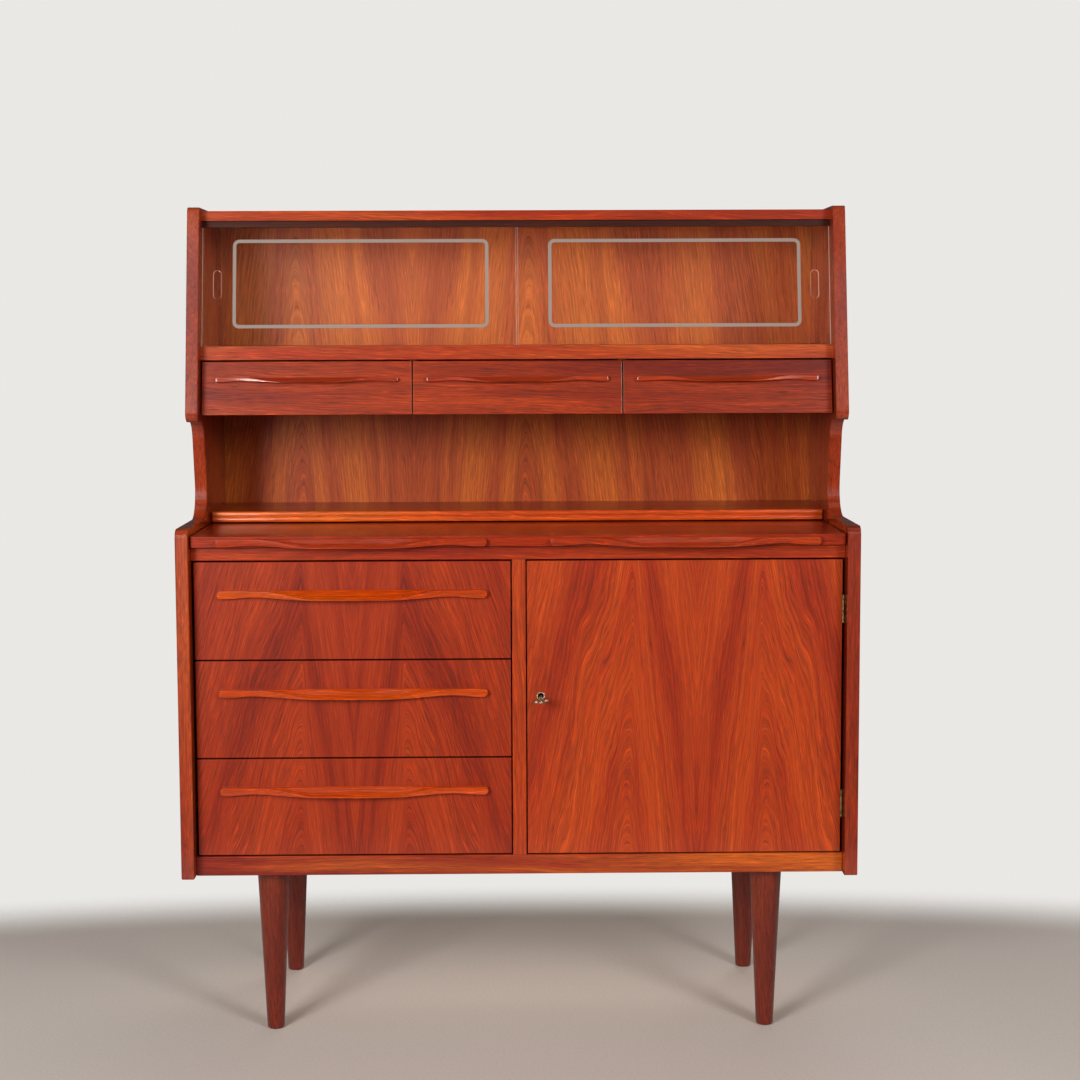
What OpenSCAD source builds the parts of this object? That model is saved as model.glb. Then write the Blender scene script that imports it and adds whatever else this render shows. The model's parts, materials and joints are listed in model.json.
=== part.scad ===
// Secretary desk: drawers and a locked cupboard under a pull-out writing board,
// with a slanting glazed hutch over an open niche, on four turned legs.
// Origin on the floor under the middle of the desk; the front looks towards -Y.

/* [Case] */
// Width over the two side boards
desk_w = 1000; // [900:10:1200]
// Depth of the side boards
desk_d = 420; // [400:5:500]
// Thickness of the side boards
side_t = 19; // [16:1:24]
// Set-back of rails, drawers, door and hutch behind the front edge of the side boards
inset = 24; // [18:1:30]
// Height of the opening that holds the large drawers and the door
field_h = 442.5; // [380:0.5:540]
// Height of the solid rail along the bottom
bottom_rail_h = 29; // [26:1:36]
// Thickness of the bottom panel
bottom_t = 19; // [15:1:24]
// Thickness of the deck under the writing board
deck_t = 19.5; // [16:0.5:24]
// Depth of the solid edge in front of the bottom panel and of the deck
edging_d = 20; // [12:1:30]
// Thickness of the upright partition
partition_t = 20; // [18:1:26]
// Thickness of the back panels
back_t = 6; // [4:0.5:7]
// Depth of the rebate that takes the back panels
rebate_d = 8; // [8:0.5:12]
// Width of that rebate in the side boards
rebate_w = 8; // [5:0.5:10]

/* [Side board outline] */
// Radius of the shoulder beside the writing board
shoulder_r = 13; // [6:1:20]
// Height of the shoulder over the writing board
shoulder_rise = 12; // [8:1:20]
// Depth of the recess in the edge beside the niche, at its deepest
recess_d = 207; // [190:1:230]
// Forward lean of the recessed edge, in degrees
recess_lean = 12; // [6:1:16]
// Radius between shoulder and recessed edge
lower_cove_r = 42; // [25:1:48]
// Radius between recessed edge and underside of the hutch
upper_cove_r = 34; // [20:1:40]
// Backward slant of the hutch front, in degrees
slant = 11; // [6:0.5:14]
// Set-back of the hutch at its underside
hutch_setback = 119; // [100:1:125]
// Radius of the lower front corner of the hutch
hutch_corner_r = 14; // [6:1:16]
// Radius of the upper front corner of the hutch
top_corner_r = 7; // [3:1:12]
// How far the side boards reach down past the small drawers
side_drop = 10; // [6:1:16]
// How far the side boards stand over the top panel
side_over = 4.5; // [2:0.5:10]

/* [Writing board and niche] */
// Thickness of the writing board
board_t = 16; // [14:0.5:20]
// How far the writing board stands in front of the rail
board_proud = 12; // [6:1:18]
// Depth of the writing board
board_d = 386; // [350:2:388]
// Clearance under the writing board
board_play = 1; // [0.5:0.1:2]
// Clearance over the writing board
board_top_play = 1.5; // [0.5:0.1:3]
// Clearance at each end of the writing board
board_side_play = 2; // [1:0.5:4]
// How far the writing board pulls out
board_travel = 260; // [150:10:280]
// Thickness of the niche shelf
shelf_t = 16.5; // [14:0.5:20]
// Depth of the reeded lip on the niche shelf
lip_d = 7; // [4:0.5:10]
// Gap at each end of the lip
lip_end = 3; // [1:0.5:6]
// Radius of the groove between the two reeds
reed_groove_r = 1.7; // [1:0.1:3]
// Clear height of the niche under the small drawers
niche_h = 156; // [130:1:200]

/* [Hutch] */
// Thickness of the deck that carries the small drawers
hutch_deck_t = 10; // [8:1:14]
// Height of the opening for the small drawers
tray_bay_h = 71; // [60:1:90]
// Thickness of the partitions between the small drawers
divider_t = 12; // [10:1:16]
// Thickness of the shelf behind the glass
glass_shelf_t = 20.5; // [16:0.5:24]
// Clear height between that shelf and the top panel
glass_bay_h = 191; // [160:1:240]
// Thickness of the top panel
top_t = 15; // [12:1:20]

/* [Sliding glass] */
// Thickness of each pane
glass_t = 4; // [3:0.5:5]
// Set-back of the front pane behind the face of the hutch
glass_setback = 8; // [6:0.5:12]
// Gap between the two panes
pane_gap = 4; // [3:0.5:6]
// How far the two panes overlap in the middle
pane_overlap = 3; // [2:1:20]
// Clearance of a pane in its groove, on each face
groove_play = 0.5; // [0.3:0.1:1]
// Depth of the grooves under the panes
lower_groove_d = 5; // [4:0.5:8]
// Height of the grooved strip over the panes
track_h = 10; // [8:0.5:14]
// Depth of the grooves over the panes
upper_groove_d = 8; // [6:0.5:8]
// Width of the ground finger grips
grip_w = 12; // [10:1:16]
// Height of the ground finger grips
grip_h = 44; // [30:1:60]
// Depth of the ground finger grips
grip_d = 1.2; // [0.5:0.1:1.5]
// Distance of the finger grips from the end of the pane
grip_edge = 17; // [10:1:40]

/* [Large drawers] */
// Thickness of the drawer fronts and of the door
front_t = 19; // [16:1:22]
// Gap over and under each front
front_gap = 2.5; // [1.5:0.5:4]
// Gap between a front and the partition
partition_gap = 2; // [1.5:0.5:4]
// Gap between a front and the side board
side_gap = 4; // [3.5:0.5:6]
// Thickness of the drawer sides and backs
box_t = 12; // [10:1:15]
// Thickness of the drawer bottoms
box_bottom_t = 5; // [4:0.5:8]
// How much lower the box is than its front
box_drop = 34; // [24:1:50]
// Height of the box above the lower edge of its front
box_lift = 12; // [6:1:16]
// Length of the drawer boxes behind the fronts
box_len = 345; // [300:5:348]
// Height of the groove in the drawer sides
runner_groove_h = 10; // [8:1:14]
// Depth of the groove in the drawer sides
runner_groove_d = 7; // [5:0.5:8]
// Clearance of the runner in its groove
runner_play = 0.4; // [0.3:0.1:0.8]

/* [Small drawers] */
// Thickness of the small drawer fronts
tray_front_t = 14; // [12:1:18]
// Gap between neighbouring fronts
tray_gap = 2; // [1:0.5:4]
// Gap between the outer fronts and the side boards
tray_side_gap = 2.5; // [2:0.5:5]
// Gap under the shelf
tray_top_gap = 2.5; // [1.5:0.5:4]
// How far the fronts hang below their deck
tray_hang = 2; // [0:0.5:5]
// Thickness of the small drawer sides and backs
tray_t = 8; // [6:1:10]
// Thickness of the small drawer bottoms
tray_bottom_t = 4; // [3:0.5:6]
// Clearance around a small drawer box
tray_play = 1; // [0.5:0.1:2]
// Depth from the back of the box to the back panel
tray_back_gap = 14; // [6:1:40]

/* [Handles] */
// Length of the large handles
handle_len = 397; // [300:1:420]
// Length of the small handles
tray_handle_len = 278; // [200:1:290]
// Height of a large handle at its ends, waist and middle
handle_h = [12, 9.5, 14];
// Height of a small handle at its ends, waist and middle
tray_handle_h = [8, 6.5, 9.5];
// Projection of a large handle at its ends and middle
handle_out = [10, 19];
// Projection of a small handle at its ends and middle
tray_handle_out = [8, 15];
// Distance of a large handle below the top of its drawer front
handle_drop = 41.5; // [20:0.5:60]
// Distance of a board handle below the top of the writing board
board_handle_drop = 3; // [1:0.5:4]
// Height of a small handle's top edge over the lower edge of its front
tray_handle_rise = 56; // [30:1:60]

/* [Door, hinges and lock] */
// Length of a hinge
hinge_len = 41; // [30:1:60]
// Radius of the hinge knuckle
knuckle_r = 2.2; // [1.9:0.1:2.3]
// Clearance between the knuckle and the side board
knuckle_play = 0.4; // [0.3:0.05:0.8]
// Radius of the hinge pin
hinge_pin_r = 1.2; // [0.8:0.1:1.4]
// Radial running clearance of the hinge pin
pin_fit = 0.05; // [0.02:0.01:0.1]
// Width of a hinge leaf
leaf_w = 18; // [14:1:24]
// Thickness of a hinge leaf
leaf_t = 1.2; // [0.8:0.1:1.4]
// Height of the hinge centres from the ends of the door
hinge_inset = 73; // [50:1:120]
// Distance of the key from the edge of the door
key_backset = 20; // [16:1:30]
// Height of the keyhole over the lower edge of the door
keyhole_z = 236.5; // [150:0.5:300]
// Radius of the keyhole
keyhole_r = 4.2; // [4:0.1:5]
// Outer radius of the escutcheon ring
escutcheon_r = 6.2; // [5.5:0.1:9]
// How far the key shank sits below the middle of the keyhole
key_sag = 1.7; // [0:0.1:1.8]
// Radius of the key shank
shank_r = 2.2; // [1.8:0.1:2.2]
// How far the key stands out of the door
key_out = 48; // [35:1:60]
// Thickness of the lock case, let into the back of the door
lock_d = 10; // [9.5:0.5:11]
// Height of the lock case
lock_h = 50; // [40:1:70]
// Width of the lock case
lock_w = 38; // [34:1:50]
// Travel of the lock bolt
bolt_throw = 8; // [5:0.5:9]
// Height of the lock bolt
bolt_h = 9; // [6:0.5:12]
// Thickness of the lock bolt
bolt_t = 3.2; // [2.5:0.1:3.4]
// Clearance round the lock bolt
bolt_play = 0.25; // [0.1:0.05:0.4]

/* [Cupboard shelf] */
// Thickness of the cupboard shelf
cup_shelf_t = 16; // [12:1:20]
// Height of the cupboard shelf over the bottom
cup_shelf_z = 215; // [100:5:340]
// Depth of the cupboard shelf
cup_shelf_d = 330; // [250:5:345]
// Radius of the shelf pins
shelf_pin_r = 2.5; // [2:0.5:4]

/* [Legs] */
// Clear height under the bottom rail
clear_h = 248; // [200:1:320]
// Radius of a leg at the top
leg_top_r = 24.5; // [20:0.5:30]
// Radius of a leg at the foot
leg_foot_r = 13; // [10:0.5:18]
// Rounding of the foot
foot_round = 4; // [1:0.5:6]
// Distance of the leg centres from the outside of the side boards
leg_in_x = 128; // [60:1:180]
// Gap between the front leg plates and the bottom rail
leg_rail_gap = 1; // [0.5:0.5:30]
// Distance of the rear legs from the rear edge
leg_in_rear = 52; // [46:1:90]
// Width of the square leg plates
plate_w = 54; // [52:1:64]
// Thickness of the leg plates
plate_t = 3; // [2:0.5:5]
// Radius of the leg bolts
leg_bolt_r = 4; // [3:0.5:5]

/* [Hidden] */
$fn = 64;
// thickness of a glue line or of the air round a fixed insert
glue = 0.1;
// gap of a board that lies in a bay against its neighbours
ease = 0.5;
screw_r = 1.5;
screw_head_r = 2.7;

half_w = desk_w / 2;
inner_x = half_w - side_t;
panel_w = 2 * inner_x;
// side boards' front edge: puts the middle of the desk, key included, over the origin
front_y = -(desk_d + inset - key_out) / 2;
back_y = desk_d - rebate_d;

bottom_z = clear_h + bottom_rail_h;
deck_z = bottom_z + field_h;
board_z = deck_z + deck_t + board_play;
board_top_z = board_z + board_t;
shelf_z = board_top_z + board_top_play;
shelf_top_z = shelf_z + shelf_t;
hutch_z = shelf_top_z + niche_h;
tray_z = hutch_z + hutch_deck_t;
glass_shelf_z = tray_z + tray_bay_h;
glass_z = glass_shelf_z + glass_shelf_t;
top_z = glass_z + glass_bay_h;
side_top_z = top_z + top_t + side_over;
shoulder_z = board_top_z + shoulder_rise;
under_z = hutch_z - tray_hang - side_drop;
board_y = inset - board_proud;

front_h = (field_h - 4 * front_gap) / 3;
front_w = inner_x - side_gap - partition_t / 2 - partition_gap;
front_x = partition_t / 2 + partition_gap;
door_z = bottom_z + front_gap;
door_h = field_h - 2 * front_gap;
box_h = front_h - box_drop;
box_x_play = 1;

// hutch front as a line in the Y-Z plane
function slant_y(z) = hutch_setback + (z - under_z) * tan(slant);
function face_y(z) = slant_y(z) + inset;
function recess_y(z) = recess_d - (z - shoulder_z - lower_cove_r) * tan(recess_lean);
function arc(c, r, a0, a1, n = 12) =
    [for (i = [0:n]) let (a = a0 + (a1 - a0) * i / n) c + r * [cos(a), sin(a)]];
// the interval of half width r about c
function around(c, r) = [c - r, c + r];
function smooth(t) = let (u = max(0, min(1, t))) u * u * (3 - 2 * u);

tray_face_z = hutch_z - tray_hang;
tray_face_h = glass_shelf_z - tray_top_gap - tray_face_z;
tray_face_run = tray_front_t / cos(slant);
tray_pitch = (panel_w - 2 * tray_side_gap + tray_gap) / 3;
tray_face_w = tray_pitch - tray_gap;
tray_div_x = tray_pitch / 2;
tray_box_y = face_y(glass_shelf_z) + tray_face_run;
tray_box_h = tray_bay_h - 8;

pane_w = inner_x - ease + pane_overlap / 2;
pane_h = (glass_bay_h - track_h) / cos(slant) + lower_groove_d + upper_groove_d - 4;
// face of pane i behind the face of the hutch, and its foot's rise in the leaning plane
function pane_y(i) = glass_setback + i * (glass_t + pane_gap);
function pane_lift(i) = pane_y(i) * tan(slant);

hinge_x = inner_x - knuckle_r - knuckle_play;
hinge_y = inset - 1.9;
hinge_z = [door_z + hinge_inset, door_z + door_h - hinge_inset];
key_x = front_x + key_backset;
key_z = door_z + keyhole_z - key_sag;
lock_y = inset + front_t - lock_d;
bolt_mid = lock_y + lock_d - 1.4 - bolt_t / 2;
cup_z = bottom_z + cup_shelf_z;
leg_z = bottom_z - bottom_t - plate_t;
leg_x = half_w - leg_in_x;
leg_front_y = inset + edging_d + leg_rail_gap + plate_w / 2;
leg_places = [
    [-leg_x, leg_front_y],
    [leg_x, leg_front_y],
    [-leg_x, desk_d - leg_in_rear],
    [leg_x, desk_d - leg_in_rear]
];
leg_bolt_in = 32;
leg_bolt_up = 14;
stop_r = 4;
stop_h = 7;
stop_x = 300;
stop_y = board_y + board_d - 30;

teak = "#a33a1b";
teak_light = "#c1440a";
teak_dark = "#6b2412";
plywood = "#c9a36b";
steel = "#b9b4a8";
brass = "#8f7a55";

// ---- placing helpers -------------------------------------------------------

// from the front edge of the side boards into the frame of the desk
module from_front() {
    translate([0, front_y, 0]) children();
}

// a Y-Z outline drawn out along X
module along_x(x0, w) {
    translate([x0, 0, 0]) rotate([90, 0, 90]) linear_extrude(w) children();
}

// the leaning plane of the hutch front, its origin on the face at height z
module on_slant(z) {
    translate([0, face_y(z), z]) rotate([-slant, 0, 0]) children();
}

module block(x, y, z) {
    translate([x[0], y[0], z[0]]) cube([x[1] - x[0], y[1] - y[0], z[1] - z[0]]);
}

// ---- side boards -----------------------------------------------------------

module side_outline() {
    lower_c = [recess_y(shoulder_z + lower_cove_r) - lower_cove_r / cos(recess_lean),
               shoulder_z + lower_cove_r];
    upper_c = [recess_y(under_z - upper_cove_r) - upper_cove_r / cos(recess_lean),
               under_z - upper_cove_r];
    corner_c = [slant_y(under_z + hutch_corner_r) + hutch_corner_r / cos(slant),
                under_z + hutch_corner_r];
    top_c = [slant_y(side_top_z - top_corner_r) + top_corner_r / cos(slant),
             side_top_z - top_corner_r];
    toe_r = 3;
    polygon(concat(
        [[desk_d, clear_h]],
        arc([toe_r, clear_h + toe_r], toe_r, 270, 180, 4),
        arc([shoulder_r, shoulder_z - shoulder_r], shoulder_r, 180, 90),
        arc(lower_c, lower_cove_r, 270, 360 + recess_lean, 20),
        arc(upper_c, upper_cove_r, recess_lean, 90, 16),
        arc(corner_c, hutch_corner_r, 270, 180 - slant, 12),
        arc(top_c, top_corner_r, 180 - slant, 90, 8),
        [[desk_d, side_top_z]]
    ));
}

module side_board() {
    difference() {
        along_x(inner_x, side_t) side_outline();
        translate([inner_x - 1, back_y, clear_h - 1])
            cube([rebate_w + 1, rebate_d + 1, side_top_z]);
    }
}

module left_side() {
    color(teak) from_front() mirror([1, 0, 0]) side_board();
}

module right_side() {
    color(teak) from_front() difference() {
        side_board();
        shelf_pin_set(glue);
        frame_screw_set(0);
    }
}

// ---- case ------------------------------------------------------------------

module bottom_panel() {
    color(plywood) from_front() difference() {
        block([-inner_x, inner_x], [inset + edging_d, back_y], [bottom_z - bottom_t, bottom_z]);
        leg_bolt_set(glue);
        back_screw_set(0);
    }
}

module bottom_rail() {
    color(teak) from_front()
        block([-inner_x, inner_x], [inset, inset + edging_d], [clear_h, bottom_z]);
}

module deck_panel() {
    slot_r = stop_r + 1;
    slot_z = board_z - stop_h - 1;
    slot_y = [stop_y - board_travel - 0.5, stop_y + 0.5];
    color(plywood) from_front() difference() {
        block([-inner_x, inner_x], [inset + edging_d, back_y], [deck_z, deck_z + deck_t]);
        for (x = [-stop_x, stop_x]) {
            block([x - slot_r, x + slot_r], slot_y, [slot_z, board_z]);
            for (y = slot_y) translate([x, y, slot_z]) cylinder(r = slot_r, h = stop_h + 1);
        }
        back_screw_set(0);
    }
}

module deck_rail() {
    color(teak) from_front()
        block([-inner_x, inner_x], [inset, inset + edging_d], [deck_z, deck_z + deck_t]);
}

module partition() {
    color(teak) from_front() difference() {
        block([-partition_t / 2, partition_t / 2], [inset, back_y], [bottom_z, deck_z]);
        shelf_pin_set(glue);
        strike_recess();
    }
}

module lower_back() {
    color(plywood) from_front() difference() {
        back_sheet(clear_h + 2, shelf_z - 10);
        back_screw_set(0);
    }
}

module upper_back() {
    color(teak) from_front() difference() {
        back_sheet(shelf_z - 10 + ease, side_top_z - side_over);
        back_screw_set(0);
    }
}

module back_sheet(z0, z1) {
    reach = inner_x + rebate_w - ease;
    block([-reach, reach], [back_y, back_y + back_t], [z0, z1]);
}

// countersunk screws through the back panels into the boards they lie on
module back_screw_set(extra) {
    for (x = [-inner_x * 0.66, 0, inner_x * 0.66])
        for (z = [bottom_z - bottom_t / 2, deck_z + deck_t / 2, shelf_z + shelf_t / 2,
                  glass_shelf_z + glass_shelf_t / 2, top_z + top_t / 2])
            translate([x, back_y + back_t, z]) rotate([90, 0, 0]) wood_screw(18, extra);
}

// a screw whose head lies in the plane z = 0 and which runs along +z
module wood_screw(len, extra) {
    rotate_extrude()
        polygon([[0, -extra], [screw_head_r + extra, -extra], [screw_head_r + extra, 0.3],
                 [screw_r + extra, 1.6], [screw_r + extra, len + extra], [0, len + extra]]);
}

module back_screws() {
    color(steel) from_front() back_screw_set(-glue);
}

module niche_shelf() {
    z = [shelf_z, shelf_top_z];
    y = recess_y(shoulder_z + lower_cove_r) + inset;
    color(teak) from_front() difference() {
        union() {
            block([-inner_x, inner_x], [y + lip_d, back_y], z);
            block([-inner_x + lip_end, inner_x - lip_end], [y, y + lip_d], z);
        }
        translate([-inner_x, y, shelf_z + shelf_t / 2]) rotate([0, 90, 0])
            cylinder(r = reed_groove_r, h = panel_w, $fn = 24);
        back_screw_set(0);
    }
}

// ---- hutch -----------------------------------------------------------------

// a board between the sides whose front edge follows the slant
module hutch_board(z0, t, x = [-inner_x, inner_x], setback = 0) {
    along_x(x[0], x[1] - x[0])
        polygon([[face_y(z0) + setback, z0], [back_y, z0], [back_y, z0 + t],
                 [face_y(z0 + t) + setback, z0 + t]]);
}

module hutch_deck() {
    color(teak) from_front() hutch_board(hutch_z, hutch_deck_t, setback = tray_face_run + ease);
}

module hutch_dividers() {
    color(teak) from_front()
        for (side = [-1, 1])
            hutch_board(tray_z, tray_bay_h,
                        around(side * tray_div_x, divider_t / 2),
                        tray_face_run + ease);
}

module glass_shelf() {
    color(teak) from_front() difference() {
        hutch_board(glass_shelf_z, glass_shelf_t);
        on_slant(glass_z) grooves(-lower_groove_d, lower_groove_d + 6);
        back_screw_set(0);
    }
}

module top_panel() {
    color(teak) from_front() difference() {
        hutch_board(top_z, top_t);
        back_screw_set(0);
    }
}

module top_track() {
    front = glass_setback - 4;
    depth = 2 * glass_t + pane_gap + 8;
    z0 = top_z - track_h;
    color(teak_dark) from_front() difference() {
        along_x(-inner_x, panel_w)
            polygon([[face_y(z0) + front, z0], [face_y(z0) + front + depth, z0],
                     [face_y(top_z) + front + depth, top_z], [face_y(top_z) + front, top_z]]);
        on_slant(z0) grooves(-3, upper_groove_d + 3);
    }
}

// the two grooves that the panes run in, in the slanting frame of the hutch front
module grooves(z, h) {
    for (i = [0, 1])
        translate([-inner_x - 1, pane_y(i) - groove_play, z + pane_lift(i)])
            cube([panel_w + 2, glass_t + 2 * groove_play, h]);
}

module pane(i, x0, grip_x) {
    grip_z = glass_bay_h / 2 / cos(slant);
    on_slant(glass_z) difference() {
        translate([x0, pane_y(i), pane_lift(i) + 0.5 - lower_groove_d])
            cube([pane_w, glass_t, pane_h]);
        translate([grip_x, pane_y(i) + grip_d, grip_z])
            rotate([90, 0, 0]) linear_extrude(grip_d + 1) {
                for (s = [-1, 1]) translate([0, s * (grip_h - grip_w) / 2]) circle(grip_w / 2);
                square([grip_w, grip_h - grip_w], center = true);
            }
    }
}

module glass_left() {
    x0 = -inner_x + ease;
    color("#cfe3da", 0.35) from_front() pane(0, x0, x0 + grip_edge + grip_w / 2);
}

module glass_right() {
    x1 = inner_x - ease;
    color("#cfe3da", 0.35) from_front() pane(1, x1 - pane_w, x1 - grip_edge - grip_w / 2);
}

// ---- legs ------------------------------------------------------------------

module leg(i) {
    color(teak_dark) from_front() difference() {
        translate(leg_places[i]) rotate_extrude() polygon(concat(
            [[0, 0]],
            arc([leg_foot_r - foot_round, foot_round], foot_round, 270, 360, 8),
            [[leg_top_r, leg_z], [0, leg_z]]
        ));
        leg_bolt_set(glue);
    }
}

module leg_front_left() { leg(0); }
module leg_front_right() { leg(1); }
module leg_rear_left() { leg(2); }
module leg_rear_right() { leg(3); }

// hanger bolts that join the legs to the bottom panel
module leg_bolt_set(extra) {
    for (p = leg_places)
        translate([p[0], p[1], leg_z - leg_bolt_in - extra])
            cylinder(r = leg_bolt_r + extra,
                     h = leg_bolt_in + plate_t + leg_bolt_up + 2 * extra);
}

module leg_bolts() {
    color(steel) from_front() leg_bolt_set(0);
}

module leg_plates() {
    hole_in = 9;
    color(steel) from_front() difference() {
        for (p = leg_places)
            translate([p[0] - plate_w / 2, p[1] - plate_w / 2, leg_z])
                cube([plate_w, plate_w, plate_t]);
        leg_bolt_set(glue);
        for (p = leg_places)
            for (sx = [-1, 1])
                for (sy = [-1, 1])
                    translate([p[0] + sx * (plate_w / 2 - hole_in),
                               p[1] + sy * (plate_w / 2 - hole_in), leg_z - 1])
                        cylinder(r = screw_r + 0.5, h = plate_t + 2);
    }
}

// ---- cupboard shelf --------------------------------------------------------

module cupboard_shelf() {
    x0 = partition_t / 2 + ease;
    y1 = back_y - 8;
    color(teak) from_front()
        block([x0, inner_x - ease], [y1 - cup_shelf_d, y1], [cup_z, cup_z + cup_shelf_t]);
}

module shelf_pin_set(extra) {
    in_wood = 8;
    under_shelf = 8;
    for (x = [partition_t / 2, inner_x])
        for (y = [back_y - cup_shelf_d + 30, back_y - 50]) {
            lead = x > partition_t ? under_shelf : in_wood;
            translate([x - lead - extra, y, cup_z - shelf_pin_r - glue]) rotate([0, 90, 0])
                cylinder(r = shelf_pin_r + extra, h = in_wood + under_shelf + 2 * extra);
        }
}

module shelf_pins() {
    color(brass) from_front() shelf_pin_set(0);
}

// ---- writing board ---------------------------------------------------------

module writing_board() {
    reach = inner_x - board_side_play;
    color(teak) from_front() difference() {
        block([-reach, reach], [board_y, board_y + board_d], [board_z, board_top_z]);
        board_stop_set(glue);
    }
}

// pegs under the writing board that run in the slots of the deck
module board_stop_set(extra) {
    in_board = 10;
    for (x = [-stop_x, stop_x])
        translate([x, stop_y, board_z - stop_h])
            cylinder(r = stop_r + extra, h = stop_h + in_board + extra);
}

module board_stops() {
    color(teak_dark) from_front() board_stop_set(0);
}

// ---- handles ---------------------------------------------------------------

// depth of the lower edge at x, for a handle of half length hl and heights h
function handle_edge(x, hl, h) =
    let (s = abs(x) / hl)
    s < 0.74 ? h[2] + (h[1] - h[2]) * smooth((s - 0.34) / 0.4)
             : h[1] + (h[0] - h[1]) * smooth((s - 0.74) / 0.2);
function handle_reach(x, hl, out) =
    out[1] + (out[0] - out[1]) * smooth(abs(x) / hl / 0.9);

// a sculpted bar: its back lies in the plane y = 0 and its top edge in z = 0
module handle(len, h, out) {
    hl = len / 2;
    end_r = h[0] / 2;
    nose_r = out[0] / 2;
    steps = 24;
    xs = [for (i = [0:steps]) (hl - end_r) * (1 - 2 * i / steps)];
    ys = [for (i = [0:steps]) (hl - nose_r) * (2 * i / steps - 1)];
    color(teak_light) intersection() {
        rotate([90, 0, 0]) linear_extrude(out[1] + 1) polygon(concat(
            arc([-hl + end_r, -end_r], end_r, 260, 90, 10),
            arc([hl - end_r, -end_r], end_r, 90, -80, 10),
            [for (x = xs) [x, -handle_edge(x, hl, h)]]
        ));
        translate([0, 0, -h[2] - 1]) linear_extrude(h[2] + 2) polygon(concat(
            [[hl, 0], [-hl, 0]],
            arc([-hl + nose_r, -nose_r], nose_r, 180, 260, 8),
            [for (x = ys) [x, -handle_reach(x, hl, out)]],
            arc([hl - nose_r, -nose_r], nose_r, 280, 360, 8)
        ));
    }
}

module large_handle() { handle(handle_len, handle_h, handle_out); }

module board_handle(side) {
    from_front()
        translate([side * (front_x + front_w / 2), board_y, board_top_z - board_handle_drop])
            large_handle();
}

module board_handle_left() { board_handle(-1); }
module board_handle_right() { board_handle(1); }

// ---- large drawers ---------------------------------------------------------

function drawer_z(i) = bottom_z + front_gap + i * (front_h + front_gap);
function runner_z(i) = drawer_z(i) + box_lift + box_h / 2;
drawer_x = [-front_x - front_w, -front_x];
box_x = [drawer_x[0] + box_x_play, drawer_x[1] - box_x_play];
box_y = inset + front_t + glue;

module drawer_front(i) {
    color(teak) from_front()
        block(drawer_x, [inset, inset + front_t], [drawer_z(i), drawer_z(i) + front_h]);
}

module drawer_handle(i) {
    from_front()
        translate([(drawer_x[0] + drawer_x[1]) / 2, inset, drawer_z(i) + front_h - handle_drop])
            large_handle();
}

// two grooved sides, a back and a bottom, glued to each other
module drawer_box(i) {
    z0 = drawer_z(i) + box_lift;
    z1 = z0 + box_h;
    y1 = box_y + box_len;
    bottom_up = 8;
    color(plywood) from_front() {
        difference() {
            for (x = [box_x[0], box_x[1] - box_t])
                block([x, x + box_t], [box_y, y1], [z0, z1]);
            for (x = [box_x[0] - 1, box_x[1] - runner_groove_d])
                block([x, x + runner_groove_d + 1], [box_y + 20, y1 + 1],
                      around(runner_z(i), runner_groove_h / 2));
        }
        block([box_x[0] + box_t + glue, box_x[1] - box_t - glue], [y1 - box_t, y1],
              [z0 + bottom_up + box_bottom_t + glue, z1]);
        block([box_x[0] + box_t + glue, box_x[1] - box_t - glue], [box_y, y1],
              [z0 + bottom_up, z0 + bottom_up + box_bottom_t]);
    }
}

// hardwood strips on the side board and on the partition that carry the boxes
module drawer_runners() {
    y = [box_y + 24, back_y - 20];
    h = runner_groove_h / 2 - runner_play;
    color(plywood) from_front()
        for (i = [0:2]) {
            block([-inner_x, box_x[0] + runner_groove_d - ease], y, around(runner_z(i), h));
            block([box_x[1] - runner_groove_d + ease, -partition_t / 2], y,
                  around(runner_z(i), h));
        }
}

module drawer_bottom_front() { drawer_front(0); }
module drawer_middle_front() { drawer_front(1); }
module drawer_top_front() { drawer_front(2); }
module drawer_bottom_handle() { drawer_handle(0); }
module drawer_middle_handle() { drawer_handle(1); }
module drawer_top_handle() { drawer_handle(2); }
module drawer_bottom_box() { drawer_box(0); }
module drawer_middle_box() { drawer_box(1); }
module drawer_top_box() { drawer_box(2); }

// ---- small drawers ---------------------------------------------------------

module tray_front(i) {
    z1 = tray_face_z + tray_face_h;
    color(teak) from_front() along_x(i * tray_pitch - tray_face_w / 2, tray_face_w)
        polygon([[face_y(tray_face_z), tray_face_z],
                 [face_y(tray_face_z) + tray_face_run, tray_face_z],
                 [face_y(z1) + tray_face_run, z1],
                 [face_y(z1), z1]]);
}

module tray_handle(i) {
    from_front() translate([i * tray_pitch, 0, 0]) on_slant(tray_face_z + tray_handle_rise)
        translate([0, -glue, 0]) handle(tray_handle_len, tray_handle_h, tray_handle_out);
}

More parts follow.
